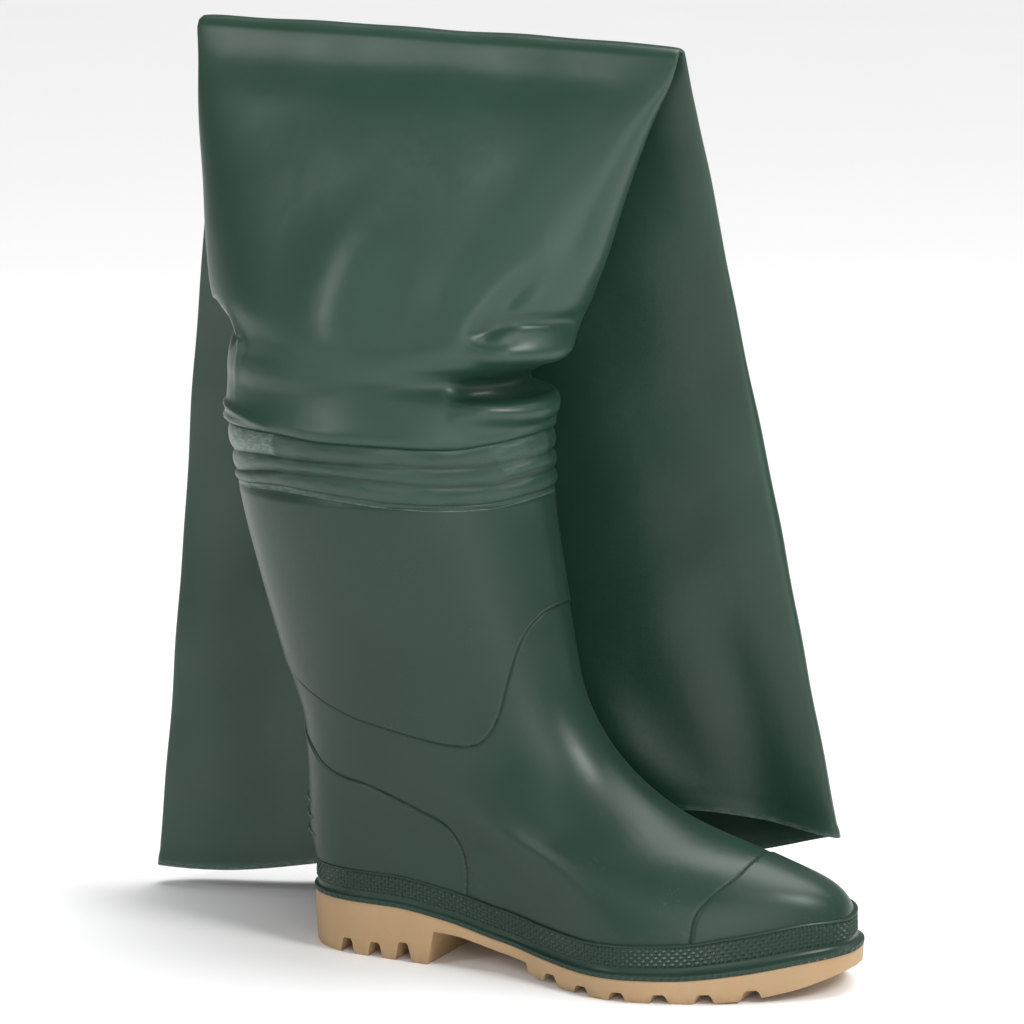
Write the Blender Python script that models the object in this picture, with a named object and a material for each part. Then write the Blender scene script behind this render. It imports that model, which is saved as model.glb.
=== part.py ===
"""Hip wader for the right foot: a knee-high moulded boot with a cleated sole and a long leg of coated
cloth welded over its top. The leg stands up from the boot, folds over and hangs down on the inner side.

The tables are in millimetres, measured from the back of the heel along the foot (X, toe at +X), with the
outer side of the foot at -Y and the floor at Z = 0. The part's origin is the middle of the heel's tread.
"""
import math

import bmesh
import bpy
import numpy as np

MM = 0.001
HEEL_CENTRE = 38.0      # from the back of the heel to the origin
GAP = 0.3               # clearance between touching pieces

# Boot sizes
BOOT_WALL = 2.5
BOOT_POINTS = 44        # points round the boot
SEAM_RISE = 0.7         # how far panel, counter and toe cap stand proud
SEAM_ROOT = 1.2         # how deep they are rooted in the wall

# Leg sizes
LEG_WALL = 1.0
LEG_POINTS = 40
RIBS = 3
RIB_RISE = 1.7
FLASH = 0.12            # share of the weld band below its lowest rib
FOLD_Z = 465.5          # height of the fold's axis
FOLD_Y = 23.5
FOLD_RADIUS = 5.5       # from the axis to the middle of the flattened tube
FOLD_SLOPE = -0.025     # the fold drops towards the toe
FOLD_STEPS = 6

# Tread sizes. Grooves are given at their roots and widen downwards by their slope.
BELOW = -5.0            # how far cutters reach below the floor
CUT_REACH = 90.0        # how far cutters reach to either side
SPINE = 9.0             # half width of the rib that runs down the middle of the tread
HEEL_LENGTH = 80.5
HEEL_LEAN = 0.22        # slope of the heel's front face
HEEL_FIRST = 33.0       # middle of the heel's first groove
HEEL_GROOVES = 3
HEEL_PITCH = 16.8
HEEL_ROOT = 5.2
HEEL_CUT = 8.0          # depth of the heel's grooves
HEEL_SLOPE = 0.24
FORE_START = 138.0      # where the first lug drops from the arch
FORE_STEP = 1.5         # how far that drop slopes
FORE_FIRST = 154.0
FORE_GROOVES = 6
FORE_PITCH = 20.8
FORE_ROOT = 5.8
FORE_CUT = 4.8
FORE_SLOPE = 0.42
WAIST_END = 179.0       # where the waist's cut meets the floor
TOE_START = 222.0       # where the toe's underside leaves the floor
TOE_END = 312.0

# Insole sizes
INSOLE_THICK = 3.0
INSOLE_SHRINK = BOOT_WALL + 0.6

# Side profile of the sole: x, height of its top, height of its underside, height of the foot band and
# how far the band's rim flares out
SOLE = np.array([
    [0.0, 28.0, 0.0, 16.5, 2.4],
    [60.0, 28.3, 0.0, 16.5, 2.4],
    [90.0, 24.8, 17.5, 16.5, 2.5],
    [120.0, 17.9, 9.5, 16.5, 2.7],
    [150.0, 13.0, 2.0, 16.5, 3.0],
    [180.0, 11.5, 0.0, 16.5, 3.2],
    [222.0, 12.0, 0.0, 17.5, 4.2],
    [250.0, 14.7, 1.2, 19.0, 5.0],
    [275.0, 18.8, 5.6, 19.3, 5.2],
    [300.0, 22.6, 14.8, 15.5, 4.6],
])
# Underside of the arch between the heel's front face and the first lug: x, z
ARCH = np.array([
    [84.5, 18.3],
    [96.0, 17.6],
    [111.0, 14.6],
    [122.0, 12.0],
    [138.0, 9.0],
])

# Boot sections from the top of the foot band to the collar. Each is a loop about a chord from back to
# front: x and z of the chord's ends, then half widths on the outer side at the heel, seat, waist, ball
# and tip, then the same on the inner side.
BOOT = np.array([
    [3.5, 44.5, 293.0, 38.5, 68, 44.5, 37, 61, 46, 68, 44, 34, 47, 84],
    [-0.5, 55.0, 286.5, 49.5, 66, 43, 37, 58, 44, 66, 43, 34, 46, 70],
    [-1.5, 67.0, 257.5, 64.5, 62, 43, 38, 52, 47, 62, 43, 36, 45, 52],
    [-1.5, 81.0, 208.0, 84.0, 58, 43, 39, 44, 44, 58, 43, 38, 43, 44],
    [-2.0, 97.0, 169.0, 109.0, 54, 43, 39, 41, 45, 54, 43, 39, 41, 45],
    [-4.0, 116.0, 149.0, 142.0, 51, 45, 42, 43, 47, 51, 45, 42, 43, 47],
    [-14.5, 147.0, 142.0, 175.0, 50, 48, 48, 49, 50, 50, 48, 48, 49, 50],
    [-28.0, 193.0, 135.0, 211.0, 55, 55, 55, 55, 55, 55, 55, 55, 55, 55],
    [-39.0, 238.0, 130.0, 241.0, 60, 60, 60, 60, 60, 60, 60, 60, 60, 60],
    [-43.0, 268.5, 128.5, 270.5, 61, 61, 61, 61, 61, 61, 61, 61, 61, 61],
])
CHORD = [0.0, 0.20, 0.42, 0.68, 1.0]    # places of those half widths along the chord
WELD = 8.0                              # the section where the leg's lower edge is welded on
LEG_EDGE = 8.02                         # where the leg's lower edge starts, just above that
COLLAR = 9.0
TONGUE_STEP = 1.5                       # the wall is thinner where the leg's band covers it
BODY_LOOPS = [0.12, 0.5, 1, 1.5, 2, 2.5, 3, 3.5, 4, 4.6, 5.3, 6, 6.7, 7.3, 7.97]
LINING_LOOPS = [0.3, 1, 1.6, 2.3, 3, 4, 5, 6, 7, WELD, COLLAR]
BAND_LOOPS = [LEG_EDGE, 8.5, COLLAR]    # inside of the leg's band

# Inward swing of the foot's centre line towards the toe: x, y
SWING = np.array([[0.0, 0.0], [150.0, 0.0], [230.0, 3.0], [300.0, 10.0]])

# Foot band from the sole up: share of the rim's flare, fixed step outwards, share of the band's height
BAND = np.array([
    [1.0, 0.0, 0.02],
    [1.0, 0.2, 0.13],
    [0.62, 0.0, 0.21],
    [0.0, 0.5, 0.86],
    [0.0, 1.4, 0.90],
    [0.0, 1.3, 0.99],
])

# Side wall of the sole: step outwards from the foot band's rim and share of the sole's height
SOLE_WALL = [(-1.8, 0.0), (-0.9, 0.5), (-0.2, 0.94), (-0.6, 1.0)]

# Standing part of the leg: z, back x, front x, near y, far y, fullness of the section
STAND = np.array([
    [282.0, -47.0, 133.0, -62.0, 62.0, 2.0],
    [300.0, -47.0, 119.0, -58.0, 62.0, 2.0],
    [318.0, -46.0, 138.0, -57.0, 61.5, 2.0],
    [335.0, -58.0, 147.0, -52.0, 60.0, 2.1],
    [360.0, -63.0, 156.0, -42.0, 55.0, 2.2],
    [400.0, -69.0, 169.0, -22.0, 43.0, 2.5],
    [435.0, -74.0, 181.0, -2.0, 31.0, 3.0],
    [456.0, -76.5, 190.0, 12.0, 23.5, 3.6],
    [465.5, -77.0, 193.0, 15.5, 20.5, 4.0],
])
# Hanging part: share of its length, back x, front x, back y, front y, near depth, far depth, fullness
HANG = np.array([
    [0.0, -77.0, 193.0, 29.0, 29.0, 2.5, 2.5, 4.0],
    [0.025, -79.0, 194.0, 31.5, 31.5, 3.0, 4.0, 3.8],
    [0.08, -84.0, 195.0, 40.5, 41.0, 4.5, 7.0, 3.5],
    [0.16, -90.5, 196.0, 52.0, 55.0, 5.0, 9.0, 3.2],
    [0.25, -99.0, 199.0, 62.0, 66.0, 5.0, 11.0, 3.0],
    [0.40, -109.0, 208.0, 69.0, 76.0, 4.5, 14.0, 2.8],
    [0.55, -115.0, 220.0, 70.0, 80.0, 5.0, 18.0, 2.6],
    [0.75, -119.0, 237.0, 62.0, 82.0, 6.0, 24.0, 2.4],
    [1.0, -124.0, 258.0, 50.0, 84.0, 7.0, 34.0, 2.2],
])
# Hem: place across the leg from -1 (back) to 1 (front), height of the near and of the far edge
HEM = np.array([
    [-1.0, 10.0, 10.0],
    [-0.78, 11.8, 10.5],
    [-0.50, 20.5, 12.0],
    [-0.05, 45.0, 18.0],
    [0.60, 68.5, 35.0],
    [1.0, 58.0, 58.0],
])

# Heights of the leg's loops, then how far down the hanging part the others are
STAND_LOOPS = [282, 291, 300, 309, 318, 335, 360, 400, 435, 456, FOLD_Z]
HANG_LOOPS = [0, 0.04, 0.10, 0.18, 0.28, 0.40, 0.55, 0.70, 0.85, 1.0]

# Raised pieces: outline in side view (x, z), then the boot sections that their skins run through.
# The panel's outline starts with its lower edge.
PANEL = [(-30, 160), (-10, 147), (8, 138), (40, 126.5), (80, 119), (98, 117.3), (108, 118.5), (115, 124),
         (120, 135), (125, 157), (129, 172), (134, 182), (141, 188), (170, 200), (170, 300), (-90, 300),
         (-90, 190)]
PANEL_LOOPS = [4.3, 4.6, 5.3, 6, 6.7, 7.3, 7.94]
# The heel counter's starts with its upper edge
COUNTER = [(-20, 128), (5, 109), (17, 98.5), (29, 93.5), (45, 91), (62, 86), (78, 80.3), (89, 76),
           (96, 70), (101, 60), (102.5, 48), (101.5, 30), (-20, 30)]
COUNTER_LOOPS = [0.15, 0.5, 1, 1.5, 2, 2.5, 3, 3.5, 4, 4.6, 5]
# The toe cap's starts with its back edge
TOE_CAP = [(262, 90), (249, 69), (245, 61), (237.5, 53.5), (232, 46), (230, 38), (229.5, 20), (330, 20),
           (330, 90)]
TOE_CAP_LOOPS = [0.15, 0.5, 1, 1.5, 2, 2.5]
# Kick ridges at the back of the heel: height and thickness
KICK_RIDGES = [(59.0, 4.0), (67.5, 4.0), (76.0, 4.0)]
KICK_LOOPS = [0.5, 1, 1.5, 2, 2.5, 3, 3.5]
KICK_RISE = 1.8
KICK_REACH = 24.0       # half length of a ridge round the heel
KICK_BACK = -12.0       # from behind the heel
KICK_FRONT = 10.0       # to here, where a ridge is thinner


def flow(table, column, at):
    """Read a column of a table as one smooth curve that never overshoots its own rows."""
    xs, ys = table[:, 0], table[:, column]
    at = np.clip(np.asarray(at, float), xs[0], xs[-1])
    step = np.diff(xs)
    slope = np.diff(ys) / step
    tangent = np.zeros(len(xs))
    tangent[0], tangent[-1] = slope[0], slope[-1]
    for i in range(1, len(xs) - 1):
        if slope[i - 1] * slope[i] > 0:
            before, after = 2 * step[i] + step[i - 1], step[i] + 2 * step[i - 1]
            tangent[i] = (before + after) / (before / slope[i - 1] + after / slope[i])
    i = np.clip(np.searchsorted(xs, at, side="right") - 1, 0, len(xs) - 2)
    t = (at - xs[i]) / step[i]
    start = (1 + 2 * t) * (1 - t) ** 2 * ys[i] + t * (1 - t) ** 2 * step[i] * tangent[i]
    end = t * t * (3 - 2 * t) * ys[i + 1] + t * t * (t - 1) * step[i] * tangent[i + 1]
    return start + end


def turn(count):
    """Angles of a loop's points: 0 is the back, the outer side comes first."""
    return np.arange(count) * 2 * math.pi / count


def sole_top(x):
    return flow(SOLE, 1, x)


def band_height(x):
    return flow(SOLE, 3, x)


def row_at(table, place):
    """A row of a table read between its rows, which are numbered from 0."""
    numbered = np.column_stack([np.arange(len(table)), table])
    return [float(flow(numbered, column, place)) for column in range(1, numbered.shape[1])]


def boot_ring(place, count=BOOT_POINTS, angles=None):
    """One loop of the boot's outside, from the foot band's top (0) to the collar (9)."""
    angle = turn(count) if angles is None else angles
    row = row_at(BOOT, place)
    back_x, back_z, front_x, front_z = row[:4]
    share = (1 - np.cos(angle)) / 2
    outer = np.sin(angle) >= 0
    x = back_x + share * (front_x - back_x)
    z = back_z + share * (front_z - back_z)
    first = BOOT[0]
    chord_z = first[1] + (x - first[0]) / (first[2] - first[0]) * (first[3] - first[1])
    z = z + (sole_top(x) + band_height(x) - chord_z) * max(0.0, 1 - place / 4) ** 2
    outer_width = flow(np.column_stack([CHORD, row[4:9]]), 1, share)
    inner_width = flow(np.column_stack([CHORD, row[9:14]]), 1, share)
    side = np.where(outer, -1.0, 1.0)
    y = side * np.abs(np.sin(angle)) * np.where(outer, outer_width, inner_width)
    y = y + flow(SWING, 1, x) * max(0.0, 1 - place / 5)
    return np.column_stack([x, y, z])


def boot_normals(place, count=BOOT_POINTS):
    """Outward directions of the boot's surface at the points of one loop."""
    nudge = 0.02
    angle = turn(count)
    low, high = max(0.0, place - nudge), min(COLLAR, place + nudge)
    along = boot_ring(place, angles=angle + nudge) - boot_ring(place, angles=angle - nudge)
    up = boot_ring(high, count) - boot_ring(low, count)
    normal = np.cross(along, up)
    return normal / np.linalg.norm(normal, axis=1)[:, None]


def boot_skin(place, out, count=BOOT_POINTS):
    """A loop that stands off the boot's outside by a distance."""
    return boot_ring(place, count) + boot_normals(place, count) * out


def foot_loop(flare, step, height, count=BOOT_POINTS):
    """The foot's outline grown sideways by a share of the rim's flare and a fixed step, at a height
    worked out from each point's own x."""
    loop = boot_ring(0.0, count)
    grow = (flare * flow(SOLE, 4, loop[:, 0]) + step)[:, None]
    along = np.roll(loop, -1, axis=0) - np.roll(loop, 1, axis=0)
    sideways = np.column_stack([along[:, 1], -along[:, 0], np.zeros(count)])
    sideways /= np.linalg.norm(sideways, axis=1)[:, None]
    loop = loop + sideways * grow
    loop[:, 2] = height(loop[:, 0])
    return loop


def leg_section(centre, half_width, near, far, fullness, wall, angle):
    """Across and depth of a tube's section: flat and full-ended where fullness is high."""
    across = -np.cos(angle)
    end = 1 - np.abs(across) ** fullness
    depth = np.clip(end, 0, 1) ** (1 / fullness)
    reach = np.where(np.sin(angle) >= 0, -(near - wall), far - wall)
    return centre + (half_width - wall) * across, reach * depth, across


def fold_tilt(x, weight):
    return FOLD_SLOPE * (x - 60.0) * weight


def stand_ring(z, wall=0.0):
    """A loop of the leg's standing part, drawn in by the wall for its inside."""
    angle = turn(LEG_POINTS)
    row = [float(flow(STAND, column, z)) for column in range(1, 6)]
    back_x, front_x, near_y, far_y, fullness = row
    middle = (near_y + far_y) / 2
    half = (far_y - near_y) / 2
    x, y, _ = leg_section((back_x + front_x) / 2, (front_x - back_x) / 2, half, half, fullness, wall,
                          angle)
    weight = min(1.0, max(0.0, (z - 360.0) / (FOLD_Z - 360.0)))
    return np.column_stack([x, y + middle, z + fold_tilt(x, weight)])


def fold_ring(theta, wall=0.0):
    """A loop of the flattened tube where it turns over the fold's axis."""
    angle = turn(LEG_POINTS)
    row = HANG[0]
    x, depth, _ = leg_section((row[1] + row[2]) / 2, (row[2] - row[1]) / 2, row[5], row[6], row[7], wall,
                              angle)
    radius = FOLD_RADIUS - depth
    y = FOLD_Y - radius * math.cos(theta)
    z = FOLD_Z + radius * math.sin(theta) + fold_tilt(x, 1.0)
    return np.column_stack([x, y, z])


def hang_ring(share, wall=0.0):
    """A loop of the hanging part. Its near layer is the inner side of the standing part."""
    angle = turn(LEG_POINTS)
    row = [float(flow(HANG, column, share)) for column in range(1, 8)]
    back_x, front_x, back_y, front_y, near, far, fullness = row
    x, depth, across = leg_section((back_x + front_x) / 2, (front_x - back_x) / 2, far, near, fullness,
                                   wall, angle)
    y = (back_y + front_y) / 2 + across * (front_y - back_y) / 2 - depth
    hem = np.where(np.sin(angle) >= 0, flow(HEM, 2, across), flow(HEM, 1, across))
    top = FOLD_Z + fold_tilt(x, 1.0)
    return np.column_stack([x, y, top + share * (hem - top)])


def world(points):
    """From the tables' millimetres to the part's metres."""
    return (np.asarray(points) - [HEEL_CENTRE, 0.0, 0.0]) * MM


def remove_everything():
    for thing in list(bpy.data.objects):
        bpy.data.objects.remove(thing, do_unlink=True)


def collection(name):
    group = bpy.data.collections.new(name)
    bpy.context.scene.collection.children.link(group)
    return group


def material(name, colour, roughness, metallic=0.0):
    finish = bpy.data.materials.new(name)
    finish.use_nodes = True
    shader = finish.node_tree.nodes["Principled BSDF"]
    shader.inputs["Base Color"].default_value = (*colour, 1.0)
    shader.inputs["Roughness"].default_value = roughness
    shader.inputs["Metallic"].default_value = metallic
    return finish


def mesh_object(name, group, verts, faces, finish=None):
    """An object from points and faces, its faces turned outwards."""
    mesh = bpy.data.meshes.new(name)
    mesh.from_pydata([tuple(point) for point in world(verts)], [], faces)
    shape = bmesh.new()
    shape.from_mesh(mesh)
    bmesh.ops.recalc_face_normals(shape, faces=shape.faces)
    shape.to_mesh(mesh)
    shape.free()
    thing = bpy.data.objects.new(name, mesh)
    group.objects.link(thing)
    if finish:
        mesh.materials.append(finish)
        mesh.shade_smooth()
        mesh.set_sharp_from_angle(angle=math.radians(35))
    return thing


def loop_faces(rings, count, closed):
    """Quads between neighbouring loops, and from the last back to the first where closed."""
    last = rings if closed else rings - 1
    faces = []
    for ring in range(last):
        low, high = ring * count, (ring + 1) % rings * count
        for i in range(count):
            j = (i + 1) % count
            faces.append((low + i, low + j, high + j, high + i))
    return faces


def ladder(start, count, flip):
    """A lid over a loop, as rungs between its two sides."""
    faces = []
    for i in range(count // 2):
        rung = [start + i, start + i + 1, start + (count - i - 1) % count, start + (count - i) % count]
        rung = list(dict.fromkeys(rung))
        faces.append(tuple(reversed(rung)) if flip else tuple(rung))
    return faces


def shell(name, group, rings, finish=None):
    """A wall from loops that run up its outside and down its inside."""
    count = len(rings[0])
    return mesh_object(name, group, np.concatenate(rings), loop_faces(len(rings), count, True), finish)


def lidded(name, group, rings, finish=None):
    """A solid from loops, lidded at both ends."""
    count = len(rings[0])
    faces = loop_faces(len(rings), count, False)
    faces += ladder(0, count, True)
    faces += ladder((len(rings) - 1) * count, count, False)
    return mesh_object(name, group, np.concatenate(rings), faces, finish)


def prism(name, group, outline, low_y, high_y):
    """A cutter: an outline in side view, carried across the boot."""
    count = len(outline)
    near = [(x, low_y, z) for x, z in outline]
    far = [(x, high_y, z) for x, z in outline]
    sides = [(i, (i + 1) % count, count + (i + 1) % count, count + i) for i in range(count)]
    caps = [tuple(range(count)), tuple(reversed(range(count, 2 * count)))]
    thing = mesh_object(name, group, near + far, sides + caps)
    as_cutter(thing)
    return thing


def as_cutter(thing):
    thing.hide_render = True
    thing.display_type = "WIRE"


def combine(thing, other, operation):
    step = thing.modifiers.new(f"{operation.lower()} {other.name}", "BOOLEAN")
    step.operation = operation
    step.solver = "EXACT"
    step.object = other


def build_upper(parts, cutters, finish):
    """The moulded boot: foot band, body and shaft in one wall, with its raised panels."""
    outside = []
    for flare, step, share in BAND:
        outside.append(foot_loop(flare, step, lambda x, s=share: sole_top(x) + GAP + s * band_height(x)))
    outside += [boot_skin(place, 0.0) for place in BODY_LOOPS]
    outside += [boot_skin(place, -TONGUE_STEP) for place in (WELD, COLLAR)]
    inside = [foot_loop(0.0, -BOOT_WALL, lambda x: sole_top(x) + GAP)]
    inside += [boot_skin(place, -BOOT_WALL) for place in LINING_LOOPS]
    upper = shell("upper", parts, outside + inside[::-1], finish)
    add_overlays(upper, cutters)
    return upper


def overlay(name, cutters, places, rise, outline, reach=CUT_REACH):
    """A raised piece: a skin over the boot, cut to an outline in side view."""
    outer = [boot_skin(place, rise) for place in places]
    inner = [boot_skin(place, -SEAM_ROOT) for place in places]
    piece = shell(name, cutters, outer + inner[::-1])
    as_cutter(piece)
    combine(piece, prism(f"{name}_outline", cutters, outline, -reach, reach), "INTERSECT")
    return piece


def add_overlays(upper, cutters):
    pieces = [
        overlay("panel_skin", cutters, PANEL_LOOPS, SEAM_RISE, PANEL),
        overlay("counter_skin", cutters, COUNTER_LOOPS, SEAM_RISE, COUNTER),
        overlay("toe_cap_skin", cutters, TOE_CAP_LOOPS, SEAM_RISE, TOE_CAP),
    ]
    for height, thick in KICK_RIDGES:
        ridge = [(KICK_BACK, height - thick / 2), (KICK_BACK, height + thick / 2),
                 (KICK_FRONT, height + thick / 4), (KICK_FRONT, height - thick / 4)]
        name = f"kick_ridge_{height:.0f}"
        pieces.append(overlay(name, cutters, KICK_LOOPS, SEAM_RISE + KICK_RISE, ridge, KICK_REACH))
    for piece in pieces:
        combine(upper, piece, "UNION")


def groove(middle, root, height, slope):
    """A groove in side view: its root's width and height, and its sides down to below the floor."""
    spread = root / 2 + slope * (height - BELOW)
    return [(middle - spread, BELOW), (middle - root / 2, height), (middle + root / 2, height),
            (middle + spread, BELOW)]


def tread_grooves():
    """Side views of all the grooves, heel first."""
    found = []
    for i in range(HEEL_GROOVES):
        found.append(groove(HEEL_FIRST + i * HEEL_PITCH, HEEL_ROOT, HEEL_CUT, HEEL_SLOPE))
    for i in range(FORE_GROOVES):
        middle = FORE_FIRST + i * FORE_PITCH
        found.append(groove(middle, FORE_ROOT, float(flow(SOLE, 2, middle)) + FORE_CUT, FORE_SLOPE))
    return found


def waist_outline():
    """Side view of what is cut away below the arch and behind the ball of the foot."""
    arch_x = np.linspace(ARCH[0, 0], ARCH[-1, 0], 10)
    fore_x = np.linspace(FORE_START + FORE_STEP, WAIST_END, 8)
    outline = [(HEEL_LENGTH + HEEL_LEAN * BELOW, BELOW)]
    outline += list(zip(arch_x, flow(ARCH, 1, arch_x)))
    outline += list(zip(fore_x, flow(SOLE, 2, fore_x)))
    return outline + [(WAIST_END, BELOW)]


def build_outsole(parts, cutters, finish):
    """Sole and heel in one, its waist and toe spring cut away below, then its grooves."""
    rings = [foot_loop(1.0, step, lambda x, s=share: s * sole_top(x)) for step, share in SOLE_WALL]
    sole = lidded("outsole", parts, rings, finish)
    waist = prism("waist_cutter", cutters, waist_outline(), -CUT_REACH, CUT_REACH)
    combine(sole, waist, "DIFFERENCE")
    toe_x = np.linspace(TOE_START, TOE_END, 14)
    outline = list(zip(toe_x, flow(SOLE, 2, toe_x))) + [(TOE_END, BELOW), (TOE_START, BELOW)]
    combine(sole, prism("toe_cutter", cutters, outline, -CUT_REACH, CUT_REACH), "DIFFERENCE")
    for number, outline in enumerate(tread_grooves()):
        for side, (low, high) in {"outer": (-CUT_REACH, -SPINE), "inner": (SPINE, CUT_REACH)}.items():
            cutter = prism(f"groove_{number}_{side}", cutters, outline, low, high)
            combine(sole, cutter, "DIFFERENCE")
    return sole


def build_insole(parts, finish):
    loops = [foot_loop(0.0, -INSOLE_SHRINK, lambda x, h=height: sole_top(x) + h)
             for height in (GAP, GAP + INSOLE_THICK)]
    return lidded("insole", parts, loops, finish)


def rib_profile(share):
    """Rise of the weld ribs along the band, from its lower edge (0) to its top (1)."""
    ribbed = max(0.0, share - FLASH) / (1 - FLASH)
    return RIB_RISE * abs(math.sin(math.pi * RIBS * ribbed)) ** 0.8


def build_leg(parts, finish):
    """The coated-cloth leg: ribbed weld band, standing part, fold and hanging part in one tube."""
    clear = GAP + 0.15 - TONGUE_STEP
    band = np.concatenate([[0.0], np.linspace(FLASH, 1, 4 * RIBS + 1)])
    outside = []
    for share in band:
        place = LEG_EDGE + share * (COLLAR - LEG_EDGE)
        outside.append(boot_skin(place, clear + LEG_WALL + rib_profile(share), LEG_POINTS))
    outside += [stand_ring(z) for z in STAND_LOOPS]
    angles = [math.pi * i / FOLD_STEPS for i in range(1, FOLD_STEPS)]
    outside += [fold_ring(angle) for angle in angles]
    outside += [hang_ring(share) for share in HANG_LOOPS]
    inside = [boot_skin(place, clear, LEG_POINTS) for place in BAND_LOOPS]
    inside += [stand_ring(z, LEG_WALL) for z in STAND_LOOPS]
    inside += [fold_ring(angle, LEG_WALL) for angle in angles]
    inside += [hang_ring(share, LEG_WALL) for share in HANG_LOOPS]
    return shell("leg", parts, outside + inside[::-1], finish)


def main():
    remove_everything()
    parts = collection("hip_wader")
    cutters = collection("cutters")
    boot_green = material("boot_pvc", (0.030, 0.062, 0.045), 0.42)
    leg_green = material("leg_coated_cloth", (0.034, 0.085, 0.056), 0.38)
    tan = material("sole_pvc", (0.46, 0.29, 0.15), 0.50)
    lining = material("insole_cloth", (0.10, 0.11, 0.10), 0.90)
    build_outsole(parts, cutters, tan)
    build_upper(parts, cutters, boot_green)
    build_insole(parts, lining)
    build_leg(parts, leg_green)


if __name__ == "__main__":
    main()
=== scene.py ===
"""Looks of the hip wader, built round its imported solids: the moulded boot with its embossed seams and
studded foot band, the tan cleated sole, the ribbed weld band and the long leg of coated cloth."""

import math

import bpy
import numpy as np
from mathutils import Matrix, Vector

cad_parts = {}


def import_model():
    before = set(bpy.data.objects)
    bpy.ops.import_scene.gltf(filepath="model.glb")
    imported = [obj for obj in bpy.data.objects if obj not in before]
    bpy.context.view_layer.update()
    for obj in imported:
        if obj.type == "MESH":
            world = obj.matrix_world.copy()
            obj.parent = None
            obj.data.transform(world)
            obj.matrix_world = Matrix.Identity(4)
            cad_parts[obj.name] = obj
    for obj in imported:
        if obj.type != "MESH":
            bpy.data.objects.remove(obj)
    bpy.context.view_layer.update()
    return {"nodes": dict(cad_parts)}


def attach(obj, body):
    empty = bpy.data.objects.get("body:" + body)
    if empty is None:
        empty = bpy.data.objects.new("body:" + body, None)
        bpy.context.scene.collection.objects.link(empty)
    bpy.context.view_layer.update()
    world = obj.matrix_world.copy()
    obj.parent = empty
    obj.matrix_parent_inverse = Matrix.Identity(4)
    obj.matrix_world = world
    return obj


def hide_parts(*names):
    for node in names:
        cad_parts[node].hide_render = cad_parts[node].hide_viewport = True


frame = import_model()

bl_info = {
    "name": "Hip Wader",
    "version": (1, 0, 0),
    "blender": (4, 5, 0),
    "location": "3D View > Sidebar > Wader",
    "description": "Builds the hip wader's visible pieces and its studio round the packed frame",
    "category": "Mesh",
}

MM = 0.001
HEEL_CENTRE = 38.0      # from the back of the heel to the frame's origin, in millimetres
GAP = 0.3               # between the sole and the foot band
BOOT_WALL = 2.5
LEG_WALL = 1.0
TONGUE_STEP = 1.5       # the boot's wall is thinner under the weld band, over this share of its length:
TONGUE = (9.5, 8.0)
FOLD_Z = 465.5
FOLD_Y = 23.5
FOLD_RADIUS = 5.5
FOLD_SLOPE = -0.025
FOLD_MIDDLE = 60.0      # x at which the fold is at FOLD_Z
SLOPE_START = 360.0     # height at which the standing part starts to slope towards the fold

# Fineness of the pieces: points of a loop, loops and rows of the skins, columns and rows of the grids
RING = 720
BOOT_LOOPS, BOOT_ROWS, BOOT_SOFTEN = 541, 700, 400
STAND_LOOPS, FOLD_LOOPS, HANG_LOOPS, LEG_ROWS, LEG_SOFTEN = 150, 15, 260, 1100, 2
BOOT_GRID = (208, 122)
SEAM_REACH = 2.6        # the boot's faces are finer this near to a seam line
RIDGE_GRID = (84, 14)
SOLE_COLUMNS, LID_ROWS = 320, 8
WELD_GRID = (420, 58)
LEG_GRID = (206, 214)
NOTCH_LENGTH, NOTCH_ROWS = 72.0, 56     # the leg's first rows are finer

# The frame's own tables, in millimetres from the back of the heel, the outer side at -Y.
# Sole: x, height of its top, height of its underside, height of the foot band, flare of its rim
SOLE = np.array([
    [0.0, 28.0, 0.0, 16.5, 2.4],
    [60.0, 28.3, 0.0, 16.5, 2.4],
    [90.0, 24.8, 17.5, 16.5, 2.5],
    [120.0, 17.9, 9.5, 16.5, 2.7],
    [150.0, 13.0, 2.0, 16.5, 3.0],
    [180.0, 11.5, 0.0, 16.5, 3.2],
    [222.0, 12.0, 0.0, 17.5, 4.2],
    [250.0, 14.7, 1.2, 19.0, 5.0],
    [275.0, 18.8, 5.6, 19.3, 5.2],
    [300.0, 22.6, 14.8, 15.5, 4.6],
])
# Underside of the arch between the heel's front face and the first lug: x, z
ARCH = np.array([
    [84.5, 18.3],
    [96.0, 17.6],
    [111.0, 14.6],
    [122.0, 12.0],
    [138.0, 9.0],
])
# Side wall of the sole: step outwards from the foot band's rim and share of the sole's height
SOLE_WALL = [(-2.1, 0.0), (-1.6, 0.06), (-1.0, 0.35), (-0.55, 0.65), (-0.3, 0.82), (-0.25, 0.93), (-0.7, 1.0)]
SOLE_BEVEL = 0.7
BELOW = -5.0            # how far cutters reach below the floor
CUT_REACH = 90.0        # and to each side
SPINE = 9.0             # half width of the rib that runs down the middle of the tread
HEEL_LENGTH = 80.5      # to its front face at the floor, which leans
HEEL_LEAN = 0.22
FORE_START = 138.0      # where the first lug drops from the arch
FORE_STEP = 1.5
WAIST_END = 179.0       # from here to the toe's start the lugs stand flat on the floor
TOE_START = 222.0
TOE_END = 312.0
GROOVE_SIDE, GROOVE_CORNER = 1.0, 0.6   # height and width of the chamfers at a groove's root
# Grooves of the heel and of the forefoot: middle of the first, how many, pitch, width at the root, depth
# and how fast they widen downwards
HEEL_GROOVES = (33.0, 3, 16.8, 5.2, 8.0, 0.24)
FORE_GROOVES = (154.0, 6, 20.8, 5.8, 4.8, 0.42)
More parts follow.
